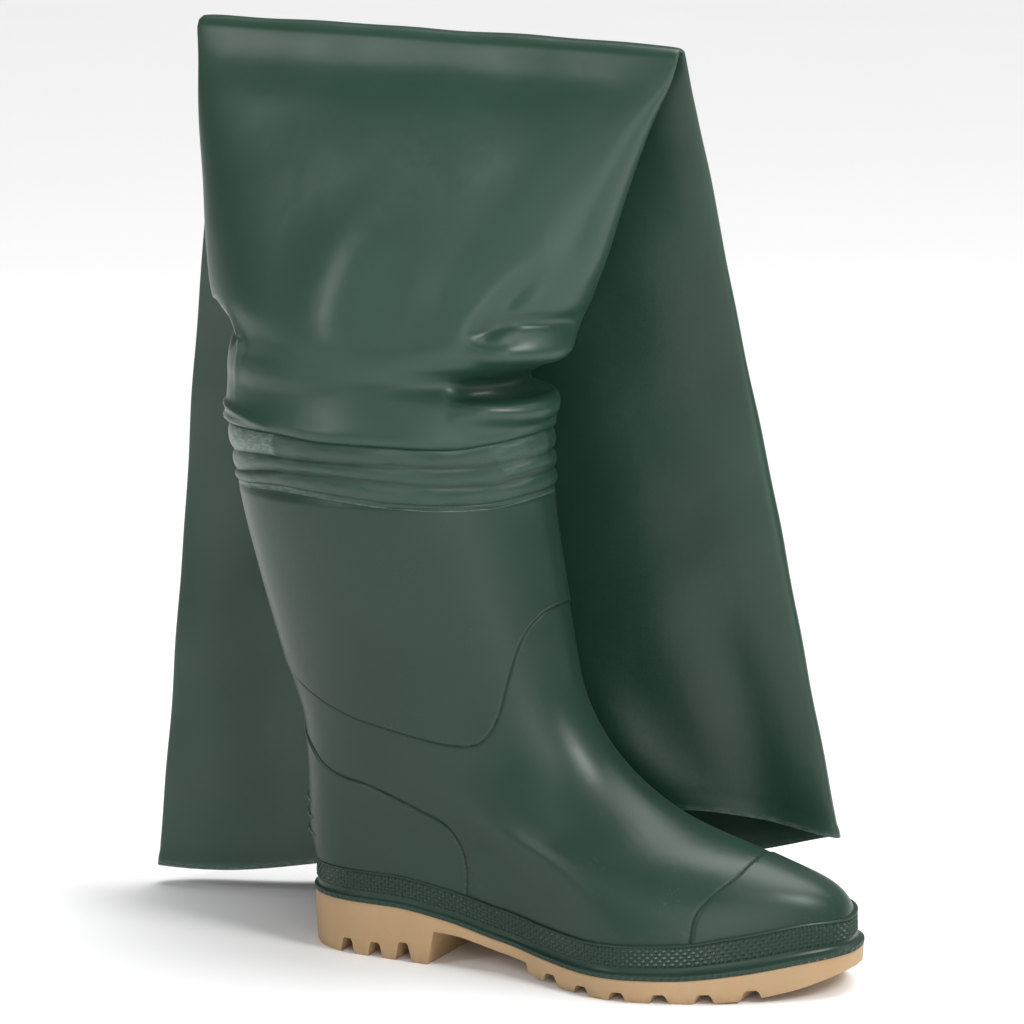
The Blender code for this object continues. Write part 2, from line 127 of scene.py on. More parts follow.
# Foot band, from its rim up: share of its height, share of the flare, step outwards, depth of its ticks
BAND_RIM = [(0.0, 0.55, -0.8, 0.0), (0.0, 0.94, 0.0, 0.0), (0.02, 1.0, 0.05, 0.0), (0.05, 1.0, 0.15, 1.0),
            (0.10, 1.0, 0.15, 1.0), (0.135, 1.0, 0.0, 0.3), (0.15, 0.86, 0.0, 0.0), (0.17, 0.58, 0.0, 0.0),
            (0.20, 0.36, 0.1, 0.0), (0.25, 0.2, 0.25, 0.0), (0.31, 0.13, 0.3, 0.0)]
TICK = -0.45
STUDDED = (0.33, 0.93)  # shares of its height between which the studs are
STUD_FLARE = 0.12
# Its lip and inside: share of its height, step outwards
BAND_LIP = [(0.93, 1.0), (0.95, 1.45), (0.975, 1.6), (0.995, 1.35), (1.005, 0.7), (1.0, -0.6),
            (0.9, -1.6), (0.0, -1.6)]
# Boot sections: x and z of the chord's back and front end, half widths on the outer side, on the inner
BOOT = np.array([
    [3.5, 44.5, 293.0, 38.5, 68, 44.5, 37, 61, 46, 68, 44, 34, 47, 84],
    [-0.5, 55.0, 286.5, 49.5, 66, 43, 37, 58, 44, 66, 43, 34, 46, 70],
    [-1.5, 67.0, 257.5, 64.5, 62, 43, 38, 52, 47, 62, 43, 36, 45, 52],
    [-1.5, 81.0, 206.0, 82.0, 58, 43, 39, 44, 48, 58, 43, 38, 43, 46],
    [-2.0, 97.0, 169.0, 109.0, 54, 43, 39, 41, 45, 54, 43, 39, 41, 45],
    [-4.0, 116.0, 149.0, 142.0, 51, 45, 42, 43, 47, 51, 45, 42, 43, 47],
    [-14.5, 147.0, 142.0, 175.0, 50, 48, 48, 49, 50, 50, 48, 48, 49, 50],
    [-28.0, 193.0, 135.0, 211.0, 55, 55, 55, 55, 55, 55, 55, 55, 55, 55],
    [-39.0, 238.0, 130.0, 241.0, 60, 60, 60, 60, 60, 60, 60, 60, 60, 60],
    [-43.0, 268.5, 128.5, 270.5, 61, 61, 61, 61, 61, 61, 61, 61, 61, 61],
])
CHORD = [0.0, 0.20, 0.42, 0.68, 1.0]            # shares of the chord at which the half widths are given
BODY_TOP = 8.35         # section at which the boot's body ends, under the weld band
COLLAR = 9.0            # the last section
SWING = np.array([[0.0, 0.0], [150.0, 0.0], [230.0, 3.0], [300.0, 10.0]])     # x, step to the inner side
# Standing part of the leg: z, back x, front x, near y, far y, fullness of the section
STAND = np.array([
    [282.0, -47.0, 133.0, -62.0, 62.0, 2.0],
    [300.0, -47.0, 119.0, -58.0, 62.0, 2.0],
    [318.0, -46.0, 138.0, -57.0, 61.5, 2.0],
    [335.0, -58.0, 147.0, -52.0, 60.0, 2.1],
    [360.0, -63.0, 156.0, -42.0, 55.0, 2.2],
    [400.0, -69.0, 169.0, -22.0, 43.0, 2.5],
    [435.0, -74.0, 181.0, -2.0, 31.0, 3.0],
    [456.0, -76.5, 190.0, 12.0, 23.5, 3.6],
    [465.5, -77.0, 193.0, 15.5, 20.5, 4.0],
])
# Hanging part: share of its length, back x, front x, back y, front y, near depth, far depth, fullness
HANG = np.array([
    [0.0, -77.0, 193.0, 29.0, 29.0, 2.5, 2.5, 4.0],
    [0.025, -79.0, 194.0, 31.5, 31.5, 3.0, 4.0, 3.8],
    [0.08, -84.0, 195.0, 40.5, 41.0, 4.5, 7.0, 3.5],
    [0.16, -90.5, 196.0, 52.0, 55.0, 5.0, 9.0, 3.2],
    [0.25, -99.0, 199.0, 62.0, 66.0, 5.0, 11.0, 3.0],
    [0.40, -109.0, 208.0, 69.0, 76.0, 4.5, 14.0, 2.8],
    [0.55, -115.0, 220.0, 70.0, 80.0, 5.0, 18.0, 2.6],
    [0.75, -119.0, 237.0, 62.0, 82.0, 6.0, 24.0, 2.4],
    [1.0, -124.0, 258.0, 50.0, 84.0, 7.0, 34.0, 2.2],
])
# Hem: place across the leg from -1 (back) to 1 (front), height of the near and of the far edge
HEM = np.array([
    [-1.0, 10.0, 10.0],
    [-0.78, 11.8, 10.5],
    [-0.50, 20.5, 12.0],
    [-0.05, 45.0, 18.0],
    [0.60, 68.5, 35.0],
    [1.0, 58.0, 58.0],
])
# Seam lines of the boot in side view: x, z
PANEL = [(-90, 190), (-30, 160), (-10, 147), (8, 138), (40, 126.5), (80, 119), (98, 117.3), (108, 118.5),
         (115, 124), (120, 135), (125, 157), (129, 172), (134, 182), (141, 188), (170, 200)]
COUNTER = [(-20, 128), (5, 109), (17, 98.5), (29, 93.5), (45, 91), (62, 86), (78, 80.3), (89, 76),
           (96, 70), (101, 60), (102.5, 48), (101.5, 30)]
TOE_CAP = [(262, 90), (249, 69), (245, 61), (237.5, 53.5), (232, 46), (230, 38), (229.5, 20)]
# Kick ridges: their heights, half of a ridge's share of the loop, sag at its ends, half its thickness,
# rise, depth of its root and how many studs each half has
KICK_RIDGES = [59.0, 67.5, 76.0]
RIDGE_REACH, RIDGE_SAG, RIDGE_HALF, RIDGE_RISE, RIDGE_ROOT, RIDGE_STUDS = 0.075, 1.6, 2.3, 2.4, 1.0, 6

# Weld band: x, heights of its lower edge, of the two lines between its ribs and of its top
BAND_LINES = np.array([
    [-46.0, 238.5, 245.0, 255.5, 271.0],
    [-24.0, 241.0, 250.0, 260.0, 273.0],
    [7.0, 244.0, 254.5, 262.0, 273.5],
    [31.0, 243.0, 255.0, 262.0, 272.0],
    [70.0, 240.0, 253.0, 262.0, 271.5],
    [98.0, 239.0, 251.5, 261.0, 270.5],
    [113.0, 239.5, 251.5, 261.5, 272.0],
    [131.0, 243.0, 255.0, 264.0, 276.0],
])

FLASH = 2.8             # height of the thin flash below the ribs
WELD_STOPS = [0.0, 0.14, 0.43, 0.71, 1.0]       # shares of its rows at the edges of its flash and ribs
# Its turned ends: row from its foot, or from its top, rise, height above its edge
WELD_FOOT = np.array([[0, -1.35, 8.0], [1, -1.35, -0.1], [2, 0.1, -0.25]])
WELD_TOP = np.array([[-5, 0.35, 0.0], [-3, -0.6, 0.6], [-1, -1.35, -2.0], [0, -1.35, -12.0]])
WALL_READ = (238.0, 268.0)      # heights at which the wall under the band is read
BAND_MIDDLE, BAND_HIGH = 255.0, 270.0
LAP_BACK = (7.2, 5.6)           # x over which the back lap rises
LAP_FRONT, LAP_LEAN, LAP_LEVEL, LAP_EDGE = 113.0, 0.36, 272.0, 1.6      # and the front lap's slanting edge
# The leg's first loops: height above the band's top, step outwards
LEG_START = [(-2.0, -0.9), (-0.8, 0.2), (0.2, 1.7), (1.2, 2.6), (3.0, 3.1), (5.5, 2.9)]
STAND_START = 286.0
HEM_LINE = 6.4          # the hem's groove, from its edge
WAVES = [(0.11, 0.043, 1.3), (-0.061, 0.097, 0.4)]      # slow waves of the cloth: along x, along z, start
WAVE_RISE = 0.2

# Finer edges of the standing part than the solids have: z, front x
NOTCH = np.array([
    [282.0, 133.0], [289.0, 133.0], [294.0, 130.5], [297.0, 124.5], [301.5, 118.0], [306.0, 122.5],
    [311.0, 132.5], [318.0, 139.5], [335.0, 147.0],
])

# Creases of the leg as polylines in side view. Standing part first: near layer 1, far layer -1;
# half width, height (troughs are negative), ends that fade out, then x, z of its points
STAND_CREASES = [
    (1, 22.0, 3.2, "both", [(65, 450), (52, 395), (38, 362), (31, 335), (22, 312), (20, 280)]),
    (1, 24.0, -2.2, "both", [(104, 430), (88, 380), (72, 340), (60, 300)]),
    (1, 6.0, -3.6, "first", [(142, 366), (129, 350), (121, 340), (114, 329)]),
    (1, 10.0, 2.4, "both", [(176, 430), (162, 380), (157, 364), (152, 352), (143, 342)]),
    (1, 4.4, -4.6, "first", [(109, 325), (121, 331), (131, 333), (146, 331)]),
    (1, 6.4, 7.0, "first", [(104, 317), (118, 319), (134, 319), (146, 318)]),
    (1, 4.0, -6.4, "first", [(94, 300), (104, 299), (115, 298), (128, 298.5)]),
    (1, 5.4, 6.0, "first", [(96, 289), (109, 289), (124, 288), (136, 288)]),
    (1, 2.0, 3.2, "both", [(-44, 337), (-34, 331), (-28, 325), (-25, 320), (-23, 315), (-25, 308), (-28, 296),
                           (-29, 284)]),
    (1, 5.0, -4.6, "last", [(-48, 327), (-38, 319), (-32, 310)]),
    (1, 1.8, 1.7, "last", [(-50, 282), (-22, 280), (0, 276.8), (10, 275.2)]),
    (1, 1.6, 1.3, "last", [(-50, 275.6), (-14, 275.2)]),
    (-1, 15.0, 3.6, "both", [(10, 285), (35, 330), (60, 390)]),
    (-1, 12.0, -3.6, "both", [(70, 285), (85, 330), (95, 390)]),
    (-1, 4.0, -3.0, "first", [(92, 299), (126, 299)]),
    (-1, 7.0, 2.5, "both", [(-40, 295), (-20, 316), (0, 360)]),
]
# Hanging part: layer 1 faces the boot, -1 is the outside seen from behind
HANG_CREASES = [
    (1, 17.0, -3.6, "first", [(186, 200), (198, 150), (211, 107), (224, 60)]),
    (1, 17.0, 7.0, "both", [(116, 160), (130, 118), (152, 92), (180, 70), (210, 40)]),
    (1, 26.0, 2.5, "both", [(205, 340), (222, 240), (242, 130)]),
    (1, 24.0, 2.5, "first", [(-70, 380), (-88, 230), (-98, 120), (-96, 0)]),
    (1, 22.0, -2.5, "first", [(-40, 330), (-55, 180), (-60, 0)]),
    (-1, 24.0, 7.0, "first", [(20, 440), (5, 300), (-10, 160), (-30, 0)]),
    (-1, 22.0, -7.0, "first", [(70, 430), (75, 280), (80, 150), (90, 0)]),
    (-1, 24.0, 7.0, "first", [(130, 440), (150, 280), (165, 150), (180, 20)]),
    (-1, 20.0, -6.0, "first", [(-50, 400), (-70, 250), (-85, 90)]),
]

# Studio, in metres: what the camera and the lights look at, then each soft light's name, place, width,
# height and power in watts
TARGET = Vector((0.073, 0.0, 0.232))
LIGHTS = [
    ("soft_left", (-1.15, -1.8, 1.3), 0.3, 1.5, 15.0),
    ("soft_right", (2.0, -0.5, 1.9), 0.6, 0.8, 38.0),
    ("soft_top", (0.2, 0.6, 2.6), 1.4, 1.4, 10.0),
    ("front_right", (1.7, -2.2, 0.9), 1.4, 1.6, 20.0),
    ("front_fill", (0.3, -2.6, 1.7), 1.2, 1.2, 5.0),
]
SUN_FROM, SUN_POWER, SUN_SPREAD = Vector((0.15, 0.35, 1.0)), 2.5, math.radians(50.0)
AIR = 0.22
FLOOR_SIZE = 30.0


def flow(table, column, at):
    """Read a column of a table as one smooth curve that never overshoots its own rows."""
    xs, ys = table[:, 0], table[:, column]
    at = np.clip(np.asarray(at, float), xs[0], xs[-1])
    step = np.diff(xs)
    slope = np.diff(ys) / step
    tangent = np.zeros(len(xs))
    tangent[0], tangent[-1] = slope[0], slope[-1]
    for i in range(1, len(xs) - 1):
        if slope[i - 1] * slope[i] > 0:
            before, after = 2 * step[i] + step[i - 1], step[i] + 2 * step[i - 1]
            tangent[i] = (before + after) / (before / slope[i - 1] + after / slope[i])
    i = np.clip(np.searchsorted(xs, at, side="right") - 1, 0, len(xs) - 2)
    t = (at - xs[i]) / step[i]
    start = (1 + 2 * t) * (1 - t) ** 2 * ys[i] + t * (1 - t) ** 2 * step[i] * tangent[i]
    end = t * t * (3 - 2 * t) * ys[i + 1] + t * t * (t - 1) * step[i] * tangent[i + 1]
    return start + end


def ease(value, low, high):
    """0 below low and 1 above high, smooth in between."""
    t = np.clip((np.asarray(value, float) - low) / (high - low), 0, 1)
    return t * t * (3 - 2 * t)


def turn(count):
    """Angles of a loop's points: 0 is the back, the outer side comes first."""
    return np.arange(count) * 2 * math.pi / count


def world(points):
    """The tables' millimetres as metres in the frame."""
    return (np.asarray(points) - [HEEL_CENTRE, 0.0, 0.0]) * MM


def sole_top(x):
    return flow(SOLE, 1, x)


def band_height(x):
    return flow(SOLE, 3, x)


def boot_ring(place, angle):
    """One loop of the boot's outside, from the foot band's top (0) to the collar (9)."""
    numbered = np.column_stack([np.arange(len(BOOT)), BOOT])
    row = [float(flow(numbered, column, place)) for column in range(1, numbered.shape[1])]
    back_x, back_z, front_x, front_z = row[:4]
    share = (1 - np.cos(angle)) / 2
    outer = np.sin(angle) >= 0
    x = back_x + share * (front_x - back_x)
    z = back_z + share * (front_z - back_z)
    first = BOOT[0]
    chord_z = first[1] + (x - first[0]) / (first[2] - first[0]) * (first[3] - first[1])
    z = z + (sole_top(x) + band_height(x) - chord_z) * max(0.0, 1 - place / 4) ** 2
    outer_width = flow(np.column_stack([CHORD, row[4:9]]), 1, share)
    inner_width = flow(np.column_stack([CHORD, row[9:14]]), 1, share)
    side = np.where(outer, -1.0, 1.0)
    y = side * np.abs(np.sin(angle)) * np.where(outer, outer_width, inner_width)
    y = y + flow(SWING, 1, x) * max(0.0, 1 - place / 5)
    return np.column_stack([x, y, z])


def sideways(loop):
    """Level directions out from a loop."""
    along = np.roll(loop, -1, axis=0) - np.roll(loop, 1, axis=0)
    out = np.column_stack([along[:, 1], -along[:, 0], np.zeros(len(loop))])
    return out / np.linalg.norm(out, axis=1)[:, None]


def leg_section(centre, half_width, near, far, fullness, angle):
    """x and y of a flattened loop, and its places from -1 at the back to 1 at the front."""
    across = -np.cos(angle)
    end = 1 - np.abs(across) ** fullness
    depth = np.clip(end, 0, 1) ** (1 / fullness)
    return centre + half_width * across, np.where(np.sin(angle) >= 0, -near, far) * depth, across


def fold_tilt(x, weight):
    """The fold slopes down towards the front."""
    return FOLD_SLOPE * (x - FOLD_MIDDLE) * weight


def stand_ring(z, angle):
    """A loop of the leg's standing part."""
    back_x, front_x, near_y, far_y, fullness = [float(flow(STAND, column, z)) for column in range(1, 6)]
    if z < NOTCH[-1, 0]:
        front_x = float(flow(NOTCH, 1, z))
    middle = (near_y + far_y) / 2
    half = (far_y - near_y) / 2
    x, y, _ = leg_section((back_x + front_x) / 2, (front_x - back_x) / 2, half, half, fullness, angle)
    weight = min(1.0, max(0.0, (z - SLOPE_START) / (FOLD_Z - SLOPE_START)))
    return np.column_stack([x, y + middle, z + fold_tilt(x, weight)])


def fold_ring(theta, angle):
    """A loop on its way over the fold."""
    row = HANG[0]
    x, depth, _ = leg_section((row[1] + row[2]) / 2, (row[2] - row[1]) / 2, row[5], row[6], row[7], angle)
    radius = FOLD_RADIUS - depth
    y = FOLD_Y - radius * math.cos(theta)
    z = FOLD_Z + radius * math.sin(theta) + fold_tilt(x, 1.0)
    return np.column_stack([x, y, z])


def hang_ring(share, angle):
    """A loop of the hanging part, from the fold (0) to the hem (1)."""
    row = [float(flow(HANG, column, share)) for column in range(1, 8)]
    back_x, front_x, back_y, front_y, near, far, fullness = row
    x, depth, across = leg_section((back_x + front_x) / 2, (front_x - back_x) / 2, far, near, fullness, angle)
    y = (back_y + front_y) / 2 + across * (front_y - back_y) / 2 - depth
    hem = np.where(np.sin(angle) >= 0, flow(HEM, 2, across), flow(HEM, 1, across))
    top = FOLD_Z + fold_tilt(x, 1.0)
    return np.column_stack([x, y, top + share * (hem - top)])


class Skin:
    """A surface read from a fine stack of closed loops: u runs round it, v from its first loop to its last,
    both from 0 to 1, and v goes evenly with the distance along the surface."""

    def __init__(self, loops, rows=600, soften=0):
        loops = np.asarray(loops)
        reach = np.linalg.norm(np.diff(loops, axis=0), axis=2).mean(axis=1)
        along = np.concatenate([[0.0], np.cumsum(reach)])
        self.length = along[-1]
        at = np.linspace(0, self.length, rows)
        i = np.clip(np.searchsorted(along, at, side="right") - 1, 0, len(loops) - 2)
        t = ((at - along[i]) / (along[i + 1] - along[i]))[:, None, None]
        self.points = loops[i] * (1 - t) + loops[i + 1] * t
        for _ in range(soften):
            inner = (self.points[:-2] + 2 * self.points[1:-1] + self.points[2:]) / 4
            self.points[1:-1] = inner
        round_it = np.roll(self.points, -1, axis=1) - np.roll(self.points, 1, axis=1)
        normals = np.cross(round_it, np.gradient(self.points, axis=0))
        self.normals = normals / np.maximum(np.linalg.norm(normals, axis=2), 1e-9)[:, :, None]

    def read(self, values, u, v):
        rows, columns = values.shape[:2]
        across, up = (u % 1.0) * columns, np.clip(v, 0, 1) * (rows - 1)
        i, j = np.minimum(up.astype(int), rows - 2), across.astype(int) % columns
        s, t = (across - np.floor(across))[:, None], (up - i)[:, None]
        k = (j + 1) % columns
        low = values[i, j] * (1 - s) + values[i, k] * s
        high = values[i + 1, j] * (1 - s) + values[i + 1, k] * s
        return low * (1 - t) + high * t

    def at(self, u, v):
        return self.read(self.points, u, v)

    def out(self, u, v):
        found = self.read(self.normals, u, v)
        return found / np.linalg.norm(found, axis=1)[:, None]


def nearest(points, line):
    """Distance of side-view points from a polyline, the side they are on (positive on its left) and how far
    along it they are, from 0 to 1."""
    best = np.full(len(points), np.inf)
    side = np.ones(len(points))
    along = np.zeros(len(points))
    line = np.asarray(line, float)
    for number, (start, end) in enumerate(zip(line[:-1], line[1:])):
        run = end - start
        t = np.clip((points - start) @ run / (run @ run), 0, 1)
        off = points - start - t[:, None] * run
        distance = np.hypot(off[:, 0], off[:, 1])
        closer = distance < best
        best[closer] = distance[closer]
        side[closer] = np.sign(run[0] * off[closer, 1] - run[1] * off[closer, 0])
        along[closer] = (number + t[closer]) / (len(line) - 1)
    return best, side, along


def rounded(line, steps=6):
    """A polyline with its corners rounded: a smooth curve through its points."""
    line = np.asarray(line, float)
    ends = np.concatenate([[2 * line[0] - line[1]], line, [2 * line[-1] - line[-2]]])
    found = []
    for a, b, c, d in zip(ends[:-3], ends[1:-2], ends[2:-1], ends[3:]):
        for t in np.arange(steps) / steps:
            found.append(0.5 * (2 * b + (c - a) * t + (2 * a - 5 * b + 4 * c - d) * t ** 2
                                + (3 * b - a - 3 * c + d) * t ** 3))
    return np.array(found + [line[-1]])


def seam_distance(side_view):
    """Signed distance in millimetres from the nearest seam line: positive on the raised piece."""
    best = np.full(len(side_view), 1e3)
    for line, raised in ((PANEL, 1), (COUNTER, -1), (TOE_CAP, 1)):
        distance, side, _ = nearest(side_view, rounded(line))
        signed = distance * np.where(side == 0, 1, side) * raised
        best = np.where(distance < np.abs(best), signed, best)
    return best


def crease_height(side_view, layer, creases):
    """Height of all the creases at side-view points; layer is 1 on the near layer and -1 on the far one."""
    height = np.zeros(len(side_view))
    for side, width, rise, fading, line in creases:
        distance, _, along = nearest(side_view, rounded(line, 4))
        weight = ease(side * layer, -0.3, 0.25)
        if fading in ("first", "both"):
            weight *= ease(along, 0.0, 0.45)
        if fading in ("last", "both"):
            weight *= ease(1 - along, 0.0, 0.45)
        height += weight * rise * np.exp(-(distance / width) ** 2)
    return height


# Making pieces with Blender's own tools

def only(thing):
    """Select one object and nothing else."""
    bpy.ops.object.select_all(action="DESELECT")
    thing.select_set(True)
    bpy.context.view_layer.objects.active = thing


def edit(thing, *steps, picked=False):
    """Run edit-mode steps on an object with all of it selected, or only what was picked before."""
    only(thing)
    bpy.ops.object.mode_set(mode="EDIT")
    bpy.ops.mesh.select_mode(type="FACE")
    if not picked:
        bpy.ops.mesh.select_all(action="SELECT")
    for step in steps:
        step()
    bpy.ops.object.mode_set(mode="OBJECT")


def flat_grid(name, columns, rows):
    """A grid from (0, 0) to (1, 1), to be shaped into a piece."""
    bpy.ops.object.select_all(action="DESELECT")
    bpy.ops.mesh.primitive_grid_add(x_subdivisions=columns, y_subdivisions=rows, size=1.0,
                                    location=(0.5, 0.5, 0.0))
    thing = bpy.context.object
    thing.name = name
    thing.data.name = name
    bpy.ops.object.transform_apply(location=True, rotation=True, scale=True)
    return thing


def grid_places(thing):
    """The u and v of a flat grid's points."""
    co = np.zeros(len(thing.data.vertices) * 3)
    thing.data.vertices.foreach_get("co", co)
    co = co.reshape(-1, 3)
    return co[:, 0].copy(), co[:, 1].copy()


def put(thing, points):
    """Move a piece's points to their places, given in the tables' millimetres."""
    thing.data.vertices.foreach_set("co", world(points).astype(np.float32).ravel())
    thing.data.update()


def note(thing, name, values):
    """Keep a number for each point, for the materials to read."""
    kept = thing.data.attributes.new(name, "FLOAT", "POINT")
    kept.data.foreach_set("value", np.asarray(values, np.float32))


def close_seams(thing):
    """Merge the grid's edges where they meet and turn the faces outwards."""
    edit(thing, lambda: bpy.ops.mesh.remove_doubles(threshold=2e-6),
         lambda: bpy.ops.mesh.normals_make_consistent(inside=False))


def modify(thing, kind, **settings):
    """Add a modifier and apply it."""
    only(thing)
    step = thing.modifiers.new(kind.lower(), kind)
    for key, value in settings.items():
        setattr(step, key, value)
    bpy.ops.object.modifier_apply(modifier=step.name)


def smooth(thing, degrees):
    only(thing)
    bpy.ops.object.shade_smooth_by_angle(angle=math.radians(degrees))


def join(things, name):
    only(things[0])
    for thing in things[1:]:
        thing.select_set(True)
    bpy.ops.object.join()
    joined = bpy.context.object
    joined.name = name
    joined.data.name = name
    return joined


def ready(thing, finish, slot, *nodes):
    """Give a finished piece its material and its CAD body, and hide the nodes that it stands for. The slot is
    not used.
    """
    thing.data.materials.clear()
    thing.data.materials.append(finish)
    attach(thing, "root")
    if nodes:
        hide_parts(*nodes)


class Wire:
    """A value in a material's nodes that can be worked with as a number."""

    def __init__(self, finish, socket):
        self.finish, self.socket = finish, socket

    def sum(self, operation, *values):
        return self.finish.add("ShaderNodeMath", {"operation": operation}, dict(enumerate(values)))

    def __add__(self, other):
        return self.sum("ADD", self, other)

    def __sub__(self, other):
        return self.sum("SUBTRACT", self, other)

    def __rsub__(self, other):
        return self.sum("SUBTRACT", other, self)

    def __mul__(self, other):
        return self.sum("MULTIPLY", self, other)

    def __abs__(self):
        return self.sum("ABSOLUTE", self)

    __radd__, __rmul__ = __add__, __mul__


class Finish:
    """A material in the making."""

    def __init__(self, name):
        self.material = bpy.data.materials.new(name)
        self.material.use_nodes = True
        self.tree = self.material.node_tree
        self.shader = self.tree.nodes["Principled BSDF"]
        self.place = self.add("ShaderNodeTexCoord", {}, {}, "Object")

    def feed(self, socket, value):
        if isinstance(value, Wire):
            self.tree.links.new(value.socket, socket)
        elif isinstance(value, tuple) and len(value) == 3 and socket.type == "RGBA":
            socket.default_value = (*value, 1.0)
        else:
            socket.default_value = value

    def add(self, kind, settings, inputs, output=0):
        """Add a node: its settings first, then its sockets' values or links."""
        node = self.tree.nodes.new(kind)
        for key, value in settings.items():
            setattr(node, key, value)
        for key, value in inputs.items():
            self.feed(node.inputs[key], value)
        return Wire(self, node.outputs[output])

    def noise(self, scale, detail=2.0, rough=0.5, place=None, distortion=0.0):
        return self.add("ShaderNodeTexNoise", {}, {
            "Vector": place or self.place, "Scale": scale, "Detail": detail, "Roughness": rough,
            "Distortion": distortion}, "Fac")

    def stretched(self, x, y, z):
        """Object coordinates with each side scaled, for streaks."""
        return self.add("ShaderNodeMapping", {}, {"Vector": self.place, "Scale": (x, y, z)})

    def range(self, value, low, high, start=0.0, end=1.0):
        return self.add("ShaderNodeMapRange", {"interpolation_type": "SMOOTHSTEP"}, {
            "Value": value, "From Min": low, "From Max": high, "To Min": start, "To Max": end})

    def patches(self, scale, detail, low, high):
        """Soft-edged patches of noise, 0 or 1 with a blend between them."""
        return self.range(self.noise(scale, detail), low, high)

    def mix(self, share, first, second):
        return self.add("ShaderNodeMix", {"data_type": "RGBA"}, {0: share, 6: first, 7: second}, 2)

    def kept(self, name):
        return self.add("ShaderNodeAttribute", {"attribute_name": name}, {}, "Fac")

    def axis(self, name):
        return self.add("ShaderNodeSeparateXYZ", {}, {0: self.place}, name)

    def bump(self, height, depth, before=None):
        inputs = {"Strength": 1.0, "Distance": depth, "Height": height}
        if before:
            inputs["Normal"] = before
        return self.add("ShaderNodeBump", {}, inputs)

    def surface(self, **sockets):
        for name, value in sockets.items():
            self.feed(self.shader.inputs[name.replace("_", " ")], value)
        return self.material


def shade(colour, factor):
    """A colour made lighter or darker."""
    return tuple(min(1.0, channel * factor) for channel in colour)


def boot_finish(green):
    """Satin moulded PVC: cloudy tone, fine grain, faint dust, painted shade in its seam grooves and a painted
    highlight along each seam's raised edge, painted shade between the foot band's studs and painted
    highlights on their tips.
    """
    f = Finish("boot_pvc")
    tone = f.mix(f.patches(9.0, 3.0, 0.3, 0.7), shade(green, 0.88), shade(green, 1.1))
    seam = f.kept("seam")
    # Painted shade: a dark line in each seam's groove. Painted highlight: a light line along the raised edge
    # of each seam.
    line = f.range(abs(seam + 0.25), 0.15, 0.75, 1.0, 0.0)
    edge = f.range(abs(seam - 0.9), 0.1, 0.7, 1.0, 0.0)
    tone = f.mix(line * 0.75, tone, shade(green, 0.25))
    tone = f.mix(edge * 0.2, tone, shade(green, 2.2))
    # Painted shade between the foot band's studs and painted highlights on their tips
    tone = f.mix(f.kept("stud_valley_shade") * 0.75, tone, shade(green, 0.2))
    tone = f.mix(f.kept("tip") * 0.55, tone, shade(green, 3.0))
    speck = f.patches(820.0, 1.0, 0.66, 0.74) * f.patches(26.0, 2.0, 0.5, 0.68)
    streak = f.range(f.noise(1.0, 4.0, 0.6, f.stretched(90.0, 90.0, 900.0)), 0.6, 0.75)
    streak = streak * f.patches(17.0, 2.0, 0.55, 0.7)
    tone = f.mix(speck * 0.35 + streak * 0.12, tone, shade(green, 3.2))
    rough = 0.31 + f.noise(40.0, 3.0) * 0.10 + speck * 0.2 + line * 0.2
    normal = f.bump(f.noise(1500.0, 2.0, 0.6), 0.00004)
    normal = f.bump(f.noise(130.0, 2.0), 0.00010, normal)
    return f.surface(Base_Color=tone, Roughness=rough, Normal=normal, Specular_IOR_Level=0.34)


def cloth_finish(green, name="leg_coated_cloth"):
    """Coated cloth: soft tone, a faint weave under the coat, rubbed pale where it is welded, partly a painted
    highlight there, and painted shade in its weld lines and hem groove.
    """
    f = Finish(name)
    tone = f.mix(f.patches(7.0, 3.0, 0.3, 0.7), shade(green, 0.9), shade(green, 1.1))
    # Pale rubbed wear on the weld band and the hem's edge, partly a painted highlight
    rub = f.kept("rub")
    flecks = f.range(f.noise(1.0, 4.0, 0.65, f.stretched(240.0, 240.0, 1100.0)), 0.38, 0.68)
    tone = f.mix(rub * (flecks * 0.6 + 0.15), tone, tuple(channel * 2.2 + 0.12 for channel in green))
    # Painted shade in the lines between the ribs, in the hem's groove and under the leg's lower edge
    seam_shade = f.kept("seam_shade")
    tone = f.mix(seam_shade * 0.7, tone, shade(green, 0.2))
    speck = f.patches(700.0, 1.0, 0.68, 0.76) * f.patches(30.0, 2.0, 0.52, 0.7)
    tone = f.mix(speck * 0.25, tone, shade(green, 2.6))
    rough = 0.30 + f.noise(30.0, 3.0) * 0.10 + speck * 0.15
    weave_place = f.add("ShaderNodeUVMap", {}, {})
    weave = f.add("ShaderNodeTexChecker", {}, {"Vector": weave_place, "Scale": 1000.0}, "Fac")
    normal = f.bump(weave * 0.5 + f.noise(1800.0, 2.0), 0.00002)
    normal = f.bump(f.noise(70.0, 2.0), 0.00025, normal)
    return f.surface(Base_Color=tone, Roughness=rough, Normal=normal, Specular_IOR_Level=0.45)


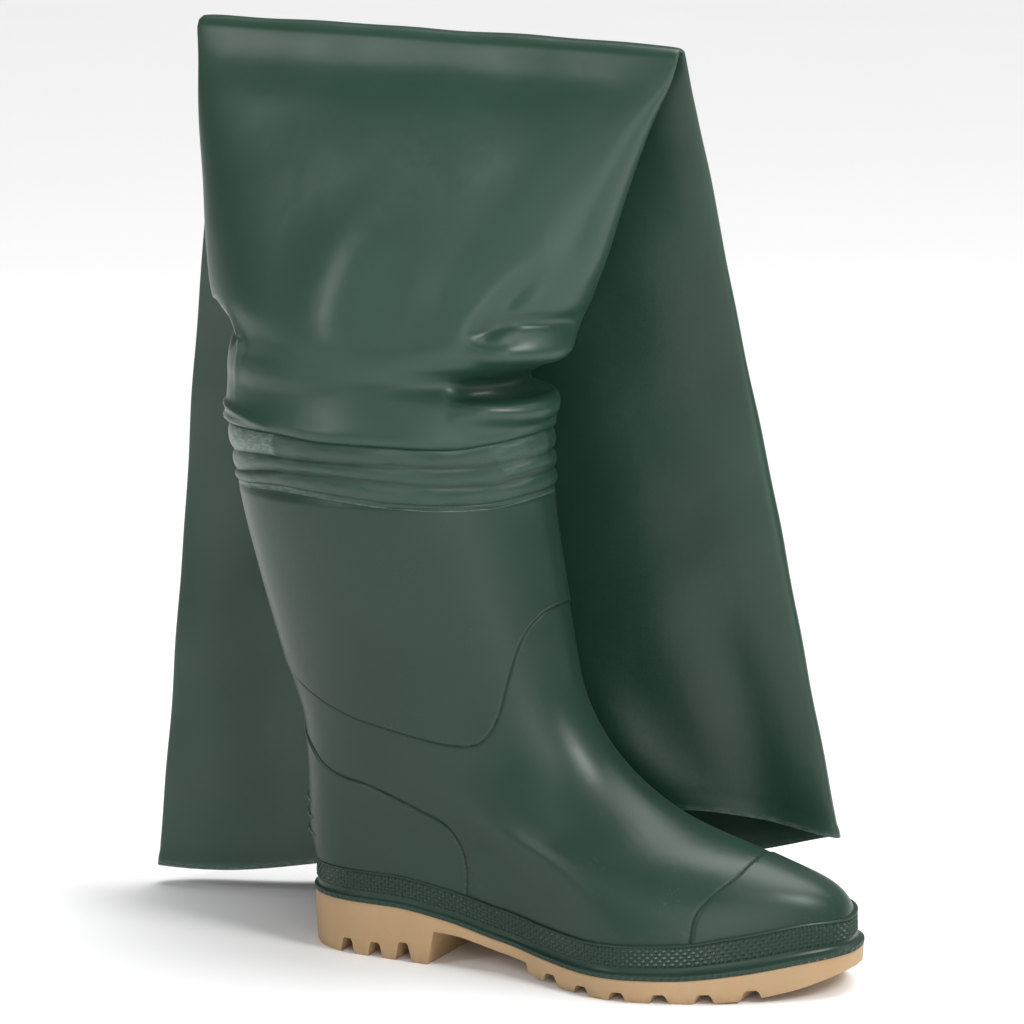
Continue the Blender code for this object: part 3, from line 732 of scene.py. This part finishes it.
def sole_finish(tan):
    """Gum-coloured moulded PVC: warm mottling, fine grain, darker in patches towards the tread."""
    f = Finish("sole_pvc")
    tone = f.mix(f.patches(22.0, 4.0, 0.3, 0.7), shade(tan, 0.93), shade(tan, 1.06))
    red = (tan[0] * 1.02, tan[1] * 0.86, tan[2] * 0.78)
    tone = f.mix(f.patches(48.0, 3.0, 0.48, 0.7) * 0.4, tone, red)
    # Darker in noisy patches over the lowest 6 mm
    low_darkening = f.range(f.axis("Z"), 0.0, 0.006, 1.0, 0.0) * f.range(f.noise(160.0, 4.0, 0.6), 0.42, 0.66)
    tone = f.mix(low_darkening * 0.35, tone, shade(tan, 0.4))
    fleck = f.patches(900.0, 1.0, 0.68, 0.76)
    tone = f.mix(fleck * 0.3, tone, shade(tan, 0.7))
    normal = f.bump(f.noise(1300.0, 2.0, 0.6), 0.00005)
    normal = f.bump(f.noise(240.0, 3.0), 0.00012, normal)
    return f.surface(Base_Color=tone, Roughness=0.46 + f.noise(60.0, 3.0) * 0.12, Normal=normal, IOR=1.5,
                     Subsurface_Weight=0.08, Subsurface_Radius=(0.004, 0.002, 0.001))


def insole_finish(grey):
    """Brushed knit lining on the insole."""
    f = Finish("insole_cloth")
    knit = f.noise(900.0, 2.0, 0.6, f.stretched(1.0, 2.4, 1.0))
    tone = f.mix(knit, shade(grey, 0.6), shade(grey, 1.4))
    return f.surface(Base_Color=tone, Roughness=0.92, Normal=f.bump(knit, 0.0003))


def floor_finish(pale):
    f = Finish("studio_floor")
    tone = f.mix(f.noise(3.0, 2.0), shade(pale, 0.99), shade(pale, 1.01))
    return f.surface(Base_Color=tone, Roughness=0.6, Specular_IOR_Level=0.2)


# Sizes and colours that a user would change

class WaderSizes(bpy.types.PropertyGroup):
    seam_rise: bpy.props.FloatProperty(
        name="Seam rise", description="How far the shaft panel, heel counter and toe cap stand proud",
        default=0.0007, min=0.0, unit="LENGTH")
    seam_depth: bpy.props.FloatProperty(
        name="Seam depth", description="Depth of the groove along their edges",
        default=0.0005, min=0.0, unit="LENGTH")
    stud_rise: bpy.props.FloatProperty(
        name="Stud rise", description="Height of the small pyramids on the foot band",
        default=0.0010, min=0.0, unit="LENGTH")
    studs: bpy.props.IntProperty(
        name="Studs", description="Pyramids in one row round the foot band", default=164, min=20)
    stud_rows: bpy.props.IntProperty(
        name="Stud rows", description="Rows of pyramids on the foot band", default=5, min=1)
    rib_rise: bpy.props.FloatProperty(
        name="Rib rise", description="Height of the weld band's three ribs", default=0.0019, unit="LENGTH")
    crease_share: bpy.props.FloatProperty(
        name="Creases", description="How deep the leg's folds are, 1 as pictured", default=1.0, min=0.0)


class WaderColours(bpy.types.PropertyGroup):
    boot: bpy.props.FloatVectorProperty(
        name="Boot", description="Moulded green of the boot", subtype="COLOR", size=3,
        default=(0.0115, 0.033, 0.0225), min=0.0, max=1.0)
    leg: bpy.props.FloatVectorProperty(
        name="Leg", description="Green of the coated cloth", subtype="COLOR", size=3,
        default=(0.0125, 0.042, 0.026), min=0.0, max=1.0)
    sole: bpy.props.FloatVectorProperty(
        name="Sole", description="Tan of the sole", subtype="COLOR", size=3,
        default=(0.40, 0.265, 0.138), min=0.0, max=1.0)
    insole: bpy.props.FloatVectorProperty(
        name="Insole", description="Grey of the insole's cloth", subtype="COLOR", size=3,
        default=(0.10, 0.11, 0.10), min=0.0, max=1.0)
    floor: bpy.props.FloatVectorProperty(
        name="Floor", description="Pale studio floor", subtype="COLOR", size=3,
        default=(0.95, 0.95, 0.95), min=0.0, max=1.0)


class WaderStudio(bpy.types.PropertyGroup):
    azimuth: bpy.props.FloatProperty(
        name="Azimuth", description="Camera's turn round the boot", subtype="ANGLE",
        default=math.radians(25.0))
    elevation: bpy.props.FloatProperty(
        name="Elevation", description="Camera's height above the horizon", subtype="ANGLE",
        default=math.radians(10.5))
    distance: bpy.props.FloatProperty(
        name="Distance", description="Camera's distance from what it looks at", default=2.5, unit="LENGTH")
    lens: bpy.props.FloatProperty(
        name="Lens", description="Focal length on a 36 mm sensor", default=173.1, unit="CAMERA")
    light: bpy.props.FloatProperty(
        name="Light", description="Share of the studio lights' power", default=1.0, min=0.0)


def boot_skin(top=COLLAR):
    """The boot's outside, from a little below the foot band's top to the collar or lower."""
    angle = turn(RING)
    loops = [boot_ring(0.0, angle) - [0.0, 0.0, drop] for drop in (4.0, 2.0)]
    loops += [boot_ring(place, angle) for place in np.linspace(0.0, top, BOOT_LOOPS)]
    return Skin(loops, rows=BOOT_ROWS, soften=BOOT_SOFTEN)


def split_near_seams(thing, skin):
    """Split the faces near a seam line in three each way."""
    u, v = grid_places(thing)
    corners = np.zeros(len(thing.data.polygons) * 4, int)
    thing.data.polygons.foreach_get("vertices", corners)
    corners = corners.reshape(-1, 4)
    middle_u, middle_v = u[corners].mean(axis=1), v[corners].mean(axis=1)
    step = 1 / BOOT_GRID[0]
    middle_u[(middle_u < step) | (middle_u > 1 - step)] = 0.0
    near = np.abs(seam_distance(skin.at(middle_u, middle_v)[:, [0, 2]])) < SEAM_REACH
    picked = np.zeros(len(u), bool)
    picked[corners[near]] = True
    thing.data.vertices.foreach_set("select", picked)
    thing.data.edges.foreach_set("select", np.zeros(len(thing.data.edges), bool))
    thing.data.polygons.foreach_set("select", near)
    edit(thing, lambda: bpy.ops.mesh.subdivide(number_cuts=2), picked=True)


class WADER_OT_boot_body(bpy.types.Operator):
    """Shape the moulded boot with its raised panel, counter and toe cap"""
    bl_idname = "wader.boot_body"
    bl_label = "Boot body"

    def execute(self, context):
        sizes, colours = context.scene.wader_sizes, context.scene.wader_colours
        skin = boot_skin(BODY_TOP)
        thing = flat_grid("boot_body", *BOOT_GRID)
        split_near_seams(thing, skin)
        u, v = grid_places(thing)
        at, out = skin.at(u, v), skin.out(u, v)
        seam = seam_distance(at[:, [0, 2]])
        rise = sizes.seam_rise / MM * ease(seam, -0.1, 0.9)
        rise -= sizes.seam_depth / MM * np.exp(-((seam + 0.1) / 0.55) ** 2)
        rise -= 1.2 * ease(skin.length * v, 3.0, 0.0)
        rise -= TONGUE_STEP * ease(skin.length * (1 - v), *TONGUE)
        put(thing, at + out * rise[:, None])
        note(thing, "seam", seam)
        close_seams(thing)
        modify(thing, "SOLIDIFY", thickness=BOOT_WALL * MM, offset=-1.0)
        smooth(thing, 50)
        ready(thing, boot_finish(colours.boot), "boot_pvc", "upper")
        return {"FINISHED"}


def band_loops(sizes):
    """Loops of the foot band: flared rim, plain strip, studs and lip, then down its inside."""
    count = 4 * sizes.studs
    loop = boot_ring(0.0, turn(4 * RING))
    reach = np.linalg.norm(np.diff(np.vstack([loop, loop[:1]]), axis=0), axis=1)
    along = np.concatenate([[0.0], np.cumsum(reach)])
    at = np.arange(count) / count * along[-1]
    angle = np.interp(at, along, np.append(turn(4 * RING), 2 * math.pi))
    loop = boot_ring(0.0, angle)
    out = sideways(loop)
    flare, height = flow(SOLE, 4, loop[:, 0]), band_height(loop[:, 0])
    base = sole_top(loop[:, 0]) + GAP
    column = np.arange(count)
    ticked = np.where(column % 4 < 2, 0.0, TICK)
    found = []
    for share, flared, step, tick in BAND_RIM:
        grow = flare * flared + step + ticked * tick
        found.append((grow, base + share * height, 0.0 * column))
    rows = 2 * sizes.stud_rows + 2
    for row in range(rows + 1):
        share = STUDDED[0] + (STUDDED[1] - STUDDED[0]) * row / rows
        peak = np.maximum(0.0, 1 - distance_to_stud(column, row))
        inside = 1.0 if 0 < row < rows else 0.0
        found.append((flare * STUD_FLARE * (1 - row / rows) + 0.3 + 0.25 * row / rows
                      + sizes.stud_rise / MM * peak * inside, base + share * height, peak * inside))
    for share, step in BAND_LIP:
        found.append((step + 0.0 * column, base + share * height, 0.0 * column))
    points = [np.column_stack([(loop + out * grow[:, None])[:, :2], z]) for grow, z, _ in found]
    return np.array(points), np.array([peak for _, _, peak in found])


def distance_to_stud(column, row):
    """How far a point of the band's grid is from the nearest stud's tip, 1 at the studs' edges."""
    across, up = column / 2.0, row / 2.0 - 1.0
    best = np.full(len(column), 9.0)
    for level in (math.floor(up), math.floor(up) + 1):
        shift = level % 2
        aside = np.abs((across - shift + 1) % 2 - 1)
        best = np.minimum(best, aside + abs(up - level))
    return best


class WADER_OT_foot_band(bpy.types.Operator):
    """Shape the foot band: its ticked rim, plain strip, rows of small pyramids and lip"""
    bl_idname = "wader.foot_band"
    bl_label = "Foot band"

    def execute(self, context):
        sizes, colours = context.scene.wader_sizes, context.scene.wader_colours
        loops, peaks = band_loops(sizes)
        rows, columns = loops.shape[:2]
        thing = flat_grid("foot_band", columns, rows)
        u, v = grid_places(thing)
        i = np.rint(v * rows).astype(int) % rows
        j = np.rint(u * columns).astype(int) % columns
        put(thing, loops[i, j])
        note(thing, "seam", np.full(len(u), 9.0))
        row = i - len(BAND_RIM)
        studded = (row > 0) & (row < 2 * sizes.stud_rows + 2)
        # Masks for the painted highlight on each stud's tip and the painted shade between the studs
        note(thing, "tip", ease(peaks[i, j], 0.45, 1.0))
        note(thing, "stud_valley_shade", np.where(studded, ease(peaks[i, j], 0.6, 0.0), 0.0))
        close_seams(thing)
        smooth(thing, 18)
        ready(thing, boot_finish(colours.boot), "boot_pvc", "upper")
        return {"FINISHED"}


class WADER_OT_kick_ridges(bpy.types.Operator):
    """Shape the three studded ridges across the back of the heel"""
    bl_idname = "wader.kick_ridges"
    bl_label = "Kick ridges"

    def execute(self, context):
        colours = context.scene.wader_colours
        skin = boot_skin()
        heights = skin.points[:, 0, 2]
        things = []
        for height in KICK_RIDGES:
            thing = flat_grid("kick_ridge", *RIDGE_GRID)
            u, v = grid_places(thing)
            across = 2 * u - 1
            taper = np.clip(1 - np.abs(across) ** 3, 0.02, 1)
            phi = v * 2 * math.pi
            level = height - RIDGE_SAG * across ** 2 + RIDGE_HALF * np.cos(phi) * taper
            row = np.interp(level, heights, np.linspace(0, 1, len(heights)))
            spread = RIDGE_REACH * across
            studs = 0.75 + 0.5 * np.abs((across * RIDGE_STUDS) % 1 - 0.5)
            proud = RIDGE_RISE * np.maximum(0, np.sin(phi)) ** 0.8 * studs
            rise = np.where(np.sin(phi) > 0, proud, RIDGE_ROOT * np.sin(phi)) * taper
            put(thing, skin.at(spread, row) + skin.out(spread, row) * (rise - 0.1)[:, None])
            note(thing, "seam", np.full(len(u), 9.0))
            close_seams(thing)
            things.append(thing)
        thing = join(things, "kick_ridges")
        smooth(thing, 40)
        ready(thing, boot_finish(colours.boot), "boot_pvc", "upper")
        return {"FINISHED"}


def rim_loop(angle, step):
    """The outline of the foot band's rim, moved outwards by a step."""
    loop = boot_ring(0.0, angle)
    return loop + sideways(loop) * (flow(SOLE, 4, loop[:, 0]) + step)[:, None]


def carve(thing, outline, low_y, high_y):
    """Cut a side-view outline, carried across the sole, out of a piece."""
    bpy.ops.object.select_all(action="DESELECT")
    bpy.ops.mesh.primitive_circle_add(vertices=len(outline), radius=1.0, fill_type="NGON")
    cutter = bpy.context.object
    put(cutter, [(x, low_y, z) for x, z in outline])
    edit(cutter, lambda: bpy.ops.mesh.extrude_region_move(
        TRANSFORM_OT_translate={"value": (0.0, (high_y - low_y) * MM, 0.0)}),
        lambda: bpy.ops.mesh.select_all(action="SELECT"),
        lambda: bpy.ops.mesh.normals_make_consistent(inside=False))
    modify(thing, "BOOLEAN", operation="DIFFERENCE", solver="EXACT", object=cutter)
    bpy.data.objects.remove(cutter)


class WADER_OT_tread_sole(bpy.types.Operator):
    """Shape the tan sole: its side wall, heel, arch, toe spring and lugs"""
    bl_idname = "wader.tread_sole"
    bl_label = "Tread sole"

    def execute(self, context):
        colours = context.scene.wader_colours
        rings = []
        for step, share in SOLE_WALL:
            loop = rim_loop(turn(SOLE_COLUMNS), step)
            loop[:, 2] = share * sole_top(loop[:, 0])
            rings.append(loop)
        rings = np.array(rings)
        steps = len(SOLE_WALL) - 1
        side = flat_grid("sole_side", SOLE_COLUMNS, steps)
        u, v = grid_places(side)
        put(side, rings[np.rint(v * steps).astype(int), np.rint(u * SOLE_COLUMNS).astype(int) % SOLE_COLUMNS])
        lids = [side]
        for ring in (0, -1):
            lid = flat_grid("sole_lid", SOLE_COLUMNS // 2, LID_ROWS)
            u, v = grid_places(lid)
            i = np.rint(u * SOLE_COLUMNS / 2).astype(int)
            outer, inner = rings[ring][i], rings[ring][(SOLE_COLUMNS - i) % SOLE_COLUMNS]
            put(lid, outer * (1 - v)[:, None] + inner * v[:, None])
            lids.append(lid)
        thing = join(lids, "tread_sole")
        close_seams(thing)
        self.cut(thing)
        modify(thing, "BEVEL", width=SOLE_BEVEL * MM, segments=2, limit_method="ANGLE",
               angle_limit=math.radians(40), use_clamp_overlap=True)
        smooth(thing, 32)
        ready(thing, sole_finish(colours.sole), "sole_pvc", "outsole")
        return {"FINISHED"}

    def cut(self, thing):
        """Cut the waist, the toe spring and the grooves out of the sole."""
        arch_x = np.linspace(ARCH[0, 0], ARCH[-1, 0], 24)
        fore_x = np.linspace(FORE_START + FORE_STEP, WAIST_END, 18)
        waist = [(HEEL_LENGTH + HEEL_LEAN * BELOW, BELOW)]
        waist += list(zip(arch_x, flow(ARCH, 1, arch_x)))
        waist += list(zip(fore_x, flow(SOLE, 2, fore_x))) + [(WAIST_END, BELOW)]
        carve(thing, waist, -CUT_REACH, CUT_REACH)
        toe_x = np.linspace(TOE_START, TOE_END, 40)
        toe = list(zip(toe_x, flow(SOLE, 2, toe_x))) + [(TOE_END, BELOW), (TOE_START, BELOW)]
        carve(thing, toe, -CUT_REACH, CUT_REACH)
        for first, count, pitch, root, depth, slope in (HEEL_GROOVES, FORE_GROOVES):
            for i in range(count):
                middle = first + i * pitch
                height = float(flow(SOLE, 2, middle)) + depth
                low, high = root / 2 + slope * (height - BELOW), root / 2 + slope * GROOVE_SIDE
                right = [(root / 2 - GROOVE_CORNER, height), (high, height - GROOVE_SIDE), (low, BELOW)]
                outline = [(middle - x, z) for x, z in right[::-1]] + [(middle + x, z) for x, z in right]
                carve(thing, outline, -CUT_REACH, -SPINE)
                carve(thing, outline, SPINE, CUT_REACH)


class WADER_OT_insole(bpy.types.Operator):
    """Give the insole its knit finish"""
    bl_idname = "wader.insole"
    bl_label = "Insole"

    def execute(self, context):
        insole = frame["nodes"]["insole"]
        insole.data.materials.clear()
        insole.data.materials.append(insole_finish(context.scene.wader_colours.insole))
        return {"FINISHED"}


def band_place(skin_low, skin_high, u, z):
    """Points at height z on the wall that the weld band lies on, and the directions out of it."""
    low, high = skin_low[0](u), skin_high[0](u)
    t = ((z - low[:, 2]) / (high[:, 2] - low[:, 2]))[:, None]
    out = skin_low[1](u) * (1 - t) + skin_high[1](u) * t
    return low * (1 - t) + high * t, out / np.linalg.norm(out, axis=1)[:, None]


def collar():
    """The wall under the weld band, read at the weld and at the collar."""
    skin = boot_skin()
    heights = skin.points[:, 0, 2]
    places = [np.interp(height, heights, np.linspace(0, 1, len(heights))) for height in WALL_READ]
    return [(lambda u, v=v: skin.at(u, np.full(len(u), v)), lambda u, v=v: skin.out(u, np.full(len(u), v)))
            for v in places]


class WADER_OT_weld_band(bpy.types.Operator):
    """Shape the welded band with its three ribs, thin lower flash and lapped ends"""
    bl_idname = "wader.weld_band"
    bl_label = "Weld band"

    def execute(self, context):
        sizes, colours = context.scene.wader_sizes, context.scene.wader_colours
        low, high = collar()
        rows = WELD_GRID[1]
        thing = flat_grid("weld_band", *WELD_GRID)
        u, v = grid_places(thing)
        i = np.rint(v * rows)
        base, _ = band_place(low, high, u, np.full(len(u), BAND_MIDDLE))
        edge, third, second, first = [flow(BAND_LINES, column, base[:, 0]) for column in range(1, 5)]
        marks = np.stack([edge, edge + FLASH, third, second, first])
        share = np.clip((i - 3) / (rows - 8), 0, 1)
        z = np.zeros(len(u))
        rise = np.zeros(len(u))
        for k, (start, end) in enumerate(zip(WELD_STOPS[:-1], WELD_STOPS[1:])):
            inside = (share >= start) & (share <= end)
            t = (share - start) / (end - start)
            z = np.where(inside, marks[k] + t * (marks[k + 1] - marks[k]), z)
            rib = 0.35 + sizes.rib_rise / MM * np.abs(np.sin(np.pi * np.clip(t, 0, 1))) ** 0.65
            rise = np.where(inside, rib if k else 0.55, rise)
        outer = np.sin(2 * math.pi * u) > 0
        lap_back = outer * ease(base[:, 0], *LAP_BACK) * ease(z, second - 0.5, second + 0.7)
        slant = LAP_FRONT + (LAP_LEVEL - z) * LAP_LEAN
        lap_front = outer * ease(base[:, 0], slant, slant + LAP_EDGE) * ease(z, third + 3, third + 4)
        rise = rise + 0.55 * lap_back + 0.5 * lap_front
        rise = rise + 0.25 * np.exp(-((z - edge) / 0.5) ** 2)
        for line, ends, here in ((edge, WELD_FOOT, i < 3), (first, WELD_TOP + [rows, 0, 0], i > rows - 5)):
            rise = np.where(here, np.interp(i, ends[:, 0], ends[:, 1]), rise)
            z = np.where(here, line + np.interp(i, ends[:, 0], ends[:, 2]), z)
        at, out = band_place(low, high, u, z)
        wobble = 0.12 * np.sin(at[:, 0] * 0.33) * np.sin(at[:, 2] * 0.9 + at[:, 0] * 0.07)
        put(thing, at + out * (rise + wobble * (i > 3) * (i < rows - 5))[:, None])
        # Pale streaks along the flash, on the upper ribs' back ends and on the laps: rubbed wear, partly a
        # painted highlight
        streak = 0.6 * np.exp(-((z - edge - 1.6) / 1.2) ** 2) * ease(base[:, 0], 60, 5)
        streak = streak + 0.9 * np.exp(-((z - edge - 0.1) / 0.45) ** 2)
        upper_rib_rub_and_highlight = 0.45 * outer * ease(base[:, 0], 12, -20) * ease(z, third - 1, third + 3)
        note(thing, "rub", np.clip(streak + upper_rib_rub_and_highlight + 0.9 * lap_back + 0.2 * lap_front, 0, 1))
        # Painted shade in the lines between the weld band's ribs
        near_line = np.minimum.reduce([np.abs(z - line) for line in (third, second, first)])
        note(thing, "seam_shade", np.exp(-(near_line / 0.45) ** 2))
        close_seams(thing)
        smooth(thing, 60)
        ready(thing, cloth_finish(colours.leg, "weld_band_cloth"), "leg_coated_cloth", "leg")
        return {"FINISHED"}


def leg_skin():
    """The leg's outside from the weld band up, over the fold and down to the hem."""
    angle = turn(RING)
    u = np.arange(RING) / RING
    low, high = collar()
    start, _ = band_place(low, high, u, np.full(RING, BAND_HIGH))
    top = flow(BAND_LINES, 4, start[:, 0])
    loops = []
    for lift, step in LEG_START:
        at, normal = band_place(low, high, u, top + lift)
        loops.append(at + normal * step)
    loops += [stand_ring(z, angle) for z in np.linspace(STAND_START, FOLD_Z, STAND_LOOPS)]
    loops += [fold_ring(theta, angle) for theta in np.linspace(0, math.pi, FOLD_LOOPS + 2)[1:-1]]
    loops += [hang_ring(share, angle) for share in np.linspace(0, 1, HANG_LOOPS)]
    return Skin(loops, rows=LEG_ROWS, soften=LEG_SOFTEN)


class WADER_OT_leg(bpy.types.Operator):
    """Shape the coated-cloth leg with its creases, fold and hem"""
    bl_idname = "wader.leg"
    bl_label = "Leg"

    def execute(self, context):
        sizes, colours = context.scene.wader_sizes, context.scene.wader_colours
        skin = leg_skin()
        rows = LEG_GRID[1]
        thing = flat_grid("leg_cloth", *LEG_GRID)
        u, v = grid_places(thing)
        i = v * rows
        along = np.where(i < NOTCH_ROWS, i / NOTCH_ROWS * NOTCH_LENGTH, NOTCH_LENGTH
                         + (i - NOTCH_ROWS) / (rows - NOTCH_ROWS) * (skin.length - NOTCH_LENGTH))
        v = along / skin.length
        at, out = skin.at(u, v), skin.out(u, v)
        fold = skin.length * np.argmax(skin.points[:, RING // 4, 2]) / len(skin.points)
        layer = np.sin(2 * math.pi * u)
        side_view = at[:, [0, 2]]
        standing = crease_height(side_view, layer, STAND_CREASES) * ease(along, fold, fold - 40)
        hanging = crease_height(side_view, -layer, HANG_CREASES) * ease(along, fold + 10, fold + 60)
        wave = sum(WAVE_RISE * np.sin(at[:, 0] * by_x + at[:, 2] * by_z + start)
                   for by_x, by_z, start in WAVES)
        edge = skin.length - along
        hem = 0.45 * ease(edge, 6.2, 5.2) - 0.35 * np.exp(-((edge - HEM_LINE) / 1.0) ** 2)
        rise = (standing + hanging + wave * ease(along, 4, 30)) * sizes.crease_share + hem
        put(thing, at + out * (rise * ease(along, 0.0, 4.0))[:, None])
        # Pale line along the hem's edge: rubbed wear, partly a painted highlight
        note(thing, "rub", 0.8 * ease(edge, 1.8, 0.4))
        # Painted shade in the hem's groove and where the leg's lower edge tucks under the weld band's top
        note(thing, "seam_shade", 0.7 * np.exp(-((edge - HEM_LINE) / 0.8) ** 2) + 0.5 * ease(along, 2.2, 0.4))
        close_seams(thing)
        modify(thing, "SOLIDIFY", thickness=LEG_WALL * MM, offset=-1.0)
        smooth(thing, 60)
        ready(thing, cloth_finish(colours.leg), "leg_coated_cloth", "leg")
        return {"FINISHED"}


def face(thing, direction):
    """Turn a lamp or the camera so that it looks along the reverse of a direction."""
    thing.rotation_mode = "QUATERNION"
    thing.rotation_quaternion = direction.to_track_quat("Z", "Y")


class WADER_OT_studio(bpy.types.Operator):
    """Set up the floor, the soft lights and the camera"""
    bl_idname = "wader.studio"
    bl_label = "Studio"

    def execute(self, context):
        studio, colours = context.scene.wader_studio, context.scene.wader_colours
        bpy.ops.object.select_all(action="DESELECT")
        bpy.ops.mesh.primitive_grid_add(x_subdivisions=8, y_subdivisions=8, size=FLOOR_SIZE,
                                        location=(0.0, 0.0, 0.0))
        floor = context.object
        floor.name = "studio_floor"
        floor.data.materials.append(floor_finish(colours.floor))
        a, e = studio.azimuth, studio.elevation
        back = Vector((math.sin(a) * math.cos(e), -math.cos(a) * math.cos(e), math.sin(e)))
        bpy.ops.object.camera_add(location=TARGET + back * studio.distance)
        camera = context.object
        face(camera, back)
        camera.data.lens = studio.lens
        camera.data.sensor_width = 36.0
        camera.data.clip_end = 60.0
        context.scene.camera = camera
        for name, place, wide, tall, power in LIGHTS:
            bpy.ops.object.light_add(type="AREA", location=place)
            lamp = context.object
            lamp.name = name
            lamp.data.shape = "RECTANGLE"
            lamp.data.size, lamp.data.size_y = wide, tall
            lamp.data.energy = power * studio.light
            face(lamp, Vector(place) - TARGET)
        bpy.ops.object.light_add(type="SUN", location=(-1.0, -1.0, 3.0))
        sun = context.object
        sun.data.energy = SUN_POWER * studio.light
        sun.data.angle = SUN_SPREAD
        face(sun, SUN_FROM)
        sky = bpy.data.worlds.new("studio_air")
        sky.use_nodes = True
        air = sky.node_tree.nodes["Background"].inputs
        air["Color"].default_value = (1.0, 1.0, 1.0, 1.0)
        air["Strength"].default_value = AIR
        context.scene.world = sky
        context.scene.view_settings.view_transform = "Standard"
        return {"FINISHED"}


PIECES = ("boot_body", "foot_band", "kick_ridges", "tread_sole", "insole", "weld_band", "leg", "studio")


class WADER_PT_sidebar(bpy.types.Panel):
    """Sizes, colours and steps of the hip wader"""
    bl_idname = "WADER_PT_sidebar"
    bl_label = "Hip Wader"
    bl_space_type = "VIEW_3D"
    bl_region_type = "UI"
    bl_category = "Wader"

    def draw(self, context):
        for group in (context.scene.wader_sizes, context.scene.wader_colours, context.scene.wader_studio):
            box = self.layout.box()
            for name in group.bl_rna.properties.keys():
                if name not in ("rna_type", "name"):
                    box.prop(group, name)
        for piece in PIECES:
            self.layout.operator(f"wader.{piece}")


CLASSES = (WaderSizes, WaderColours, WaderStudio, WADER_OT_boot_body, WADER_OT_foot_band,
           WADER_OT_kick_ridges, WADER_OT_tread_sole, WADER_OT_insole, WADER_OT_weld_band, WADER_OT_leg,
           WADER_OT_studio, WADER_PT_sidebar)


def register():
    for kind in CLASSES:
        bpy.utils.register_class(kind)
    bpy.types.Scene.wader_sizes = bpy.props.PointerProperty(type=WaderSizes)
    bpy.types.Scene.wader_colours = bpy.props.PointerProperty(type=WaderColours)
    bpy.types.Scene.wader_studio = bpy.props.PointerProperty(type=WaderStudio)


def unregister():
    for name in ("wader_sizes", "wader_colours", "wader_studio"):
        delattr(bpy.types.Scene, name)
    for kind in reversed(CLASSES):
        bpy.utils.unregister_class(kind)


def main():
    register()
    for piece in PIECES:
        getattr(bpy.ops.wader, piece)()


if __name__ == "__main__":
    main()
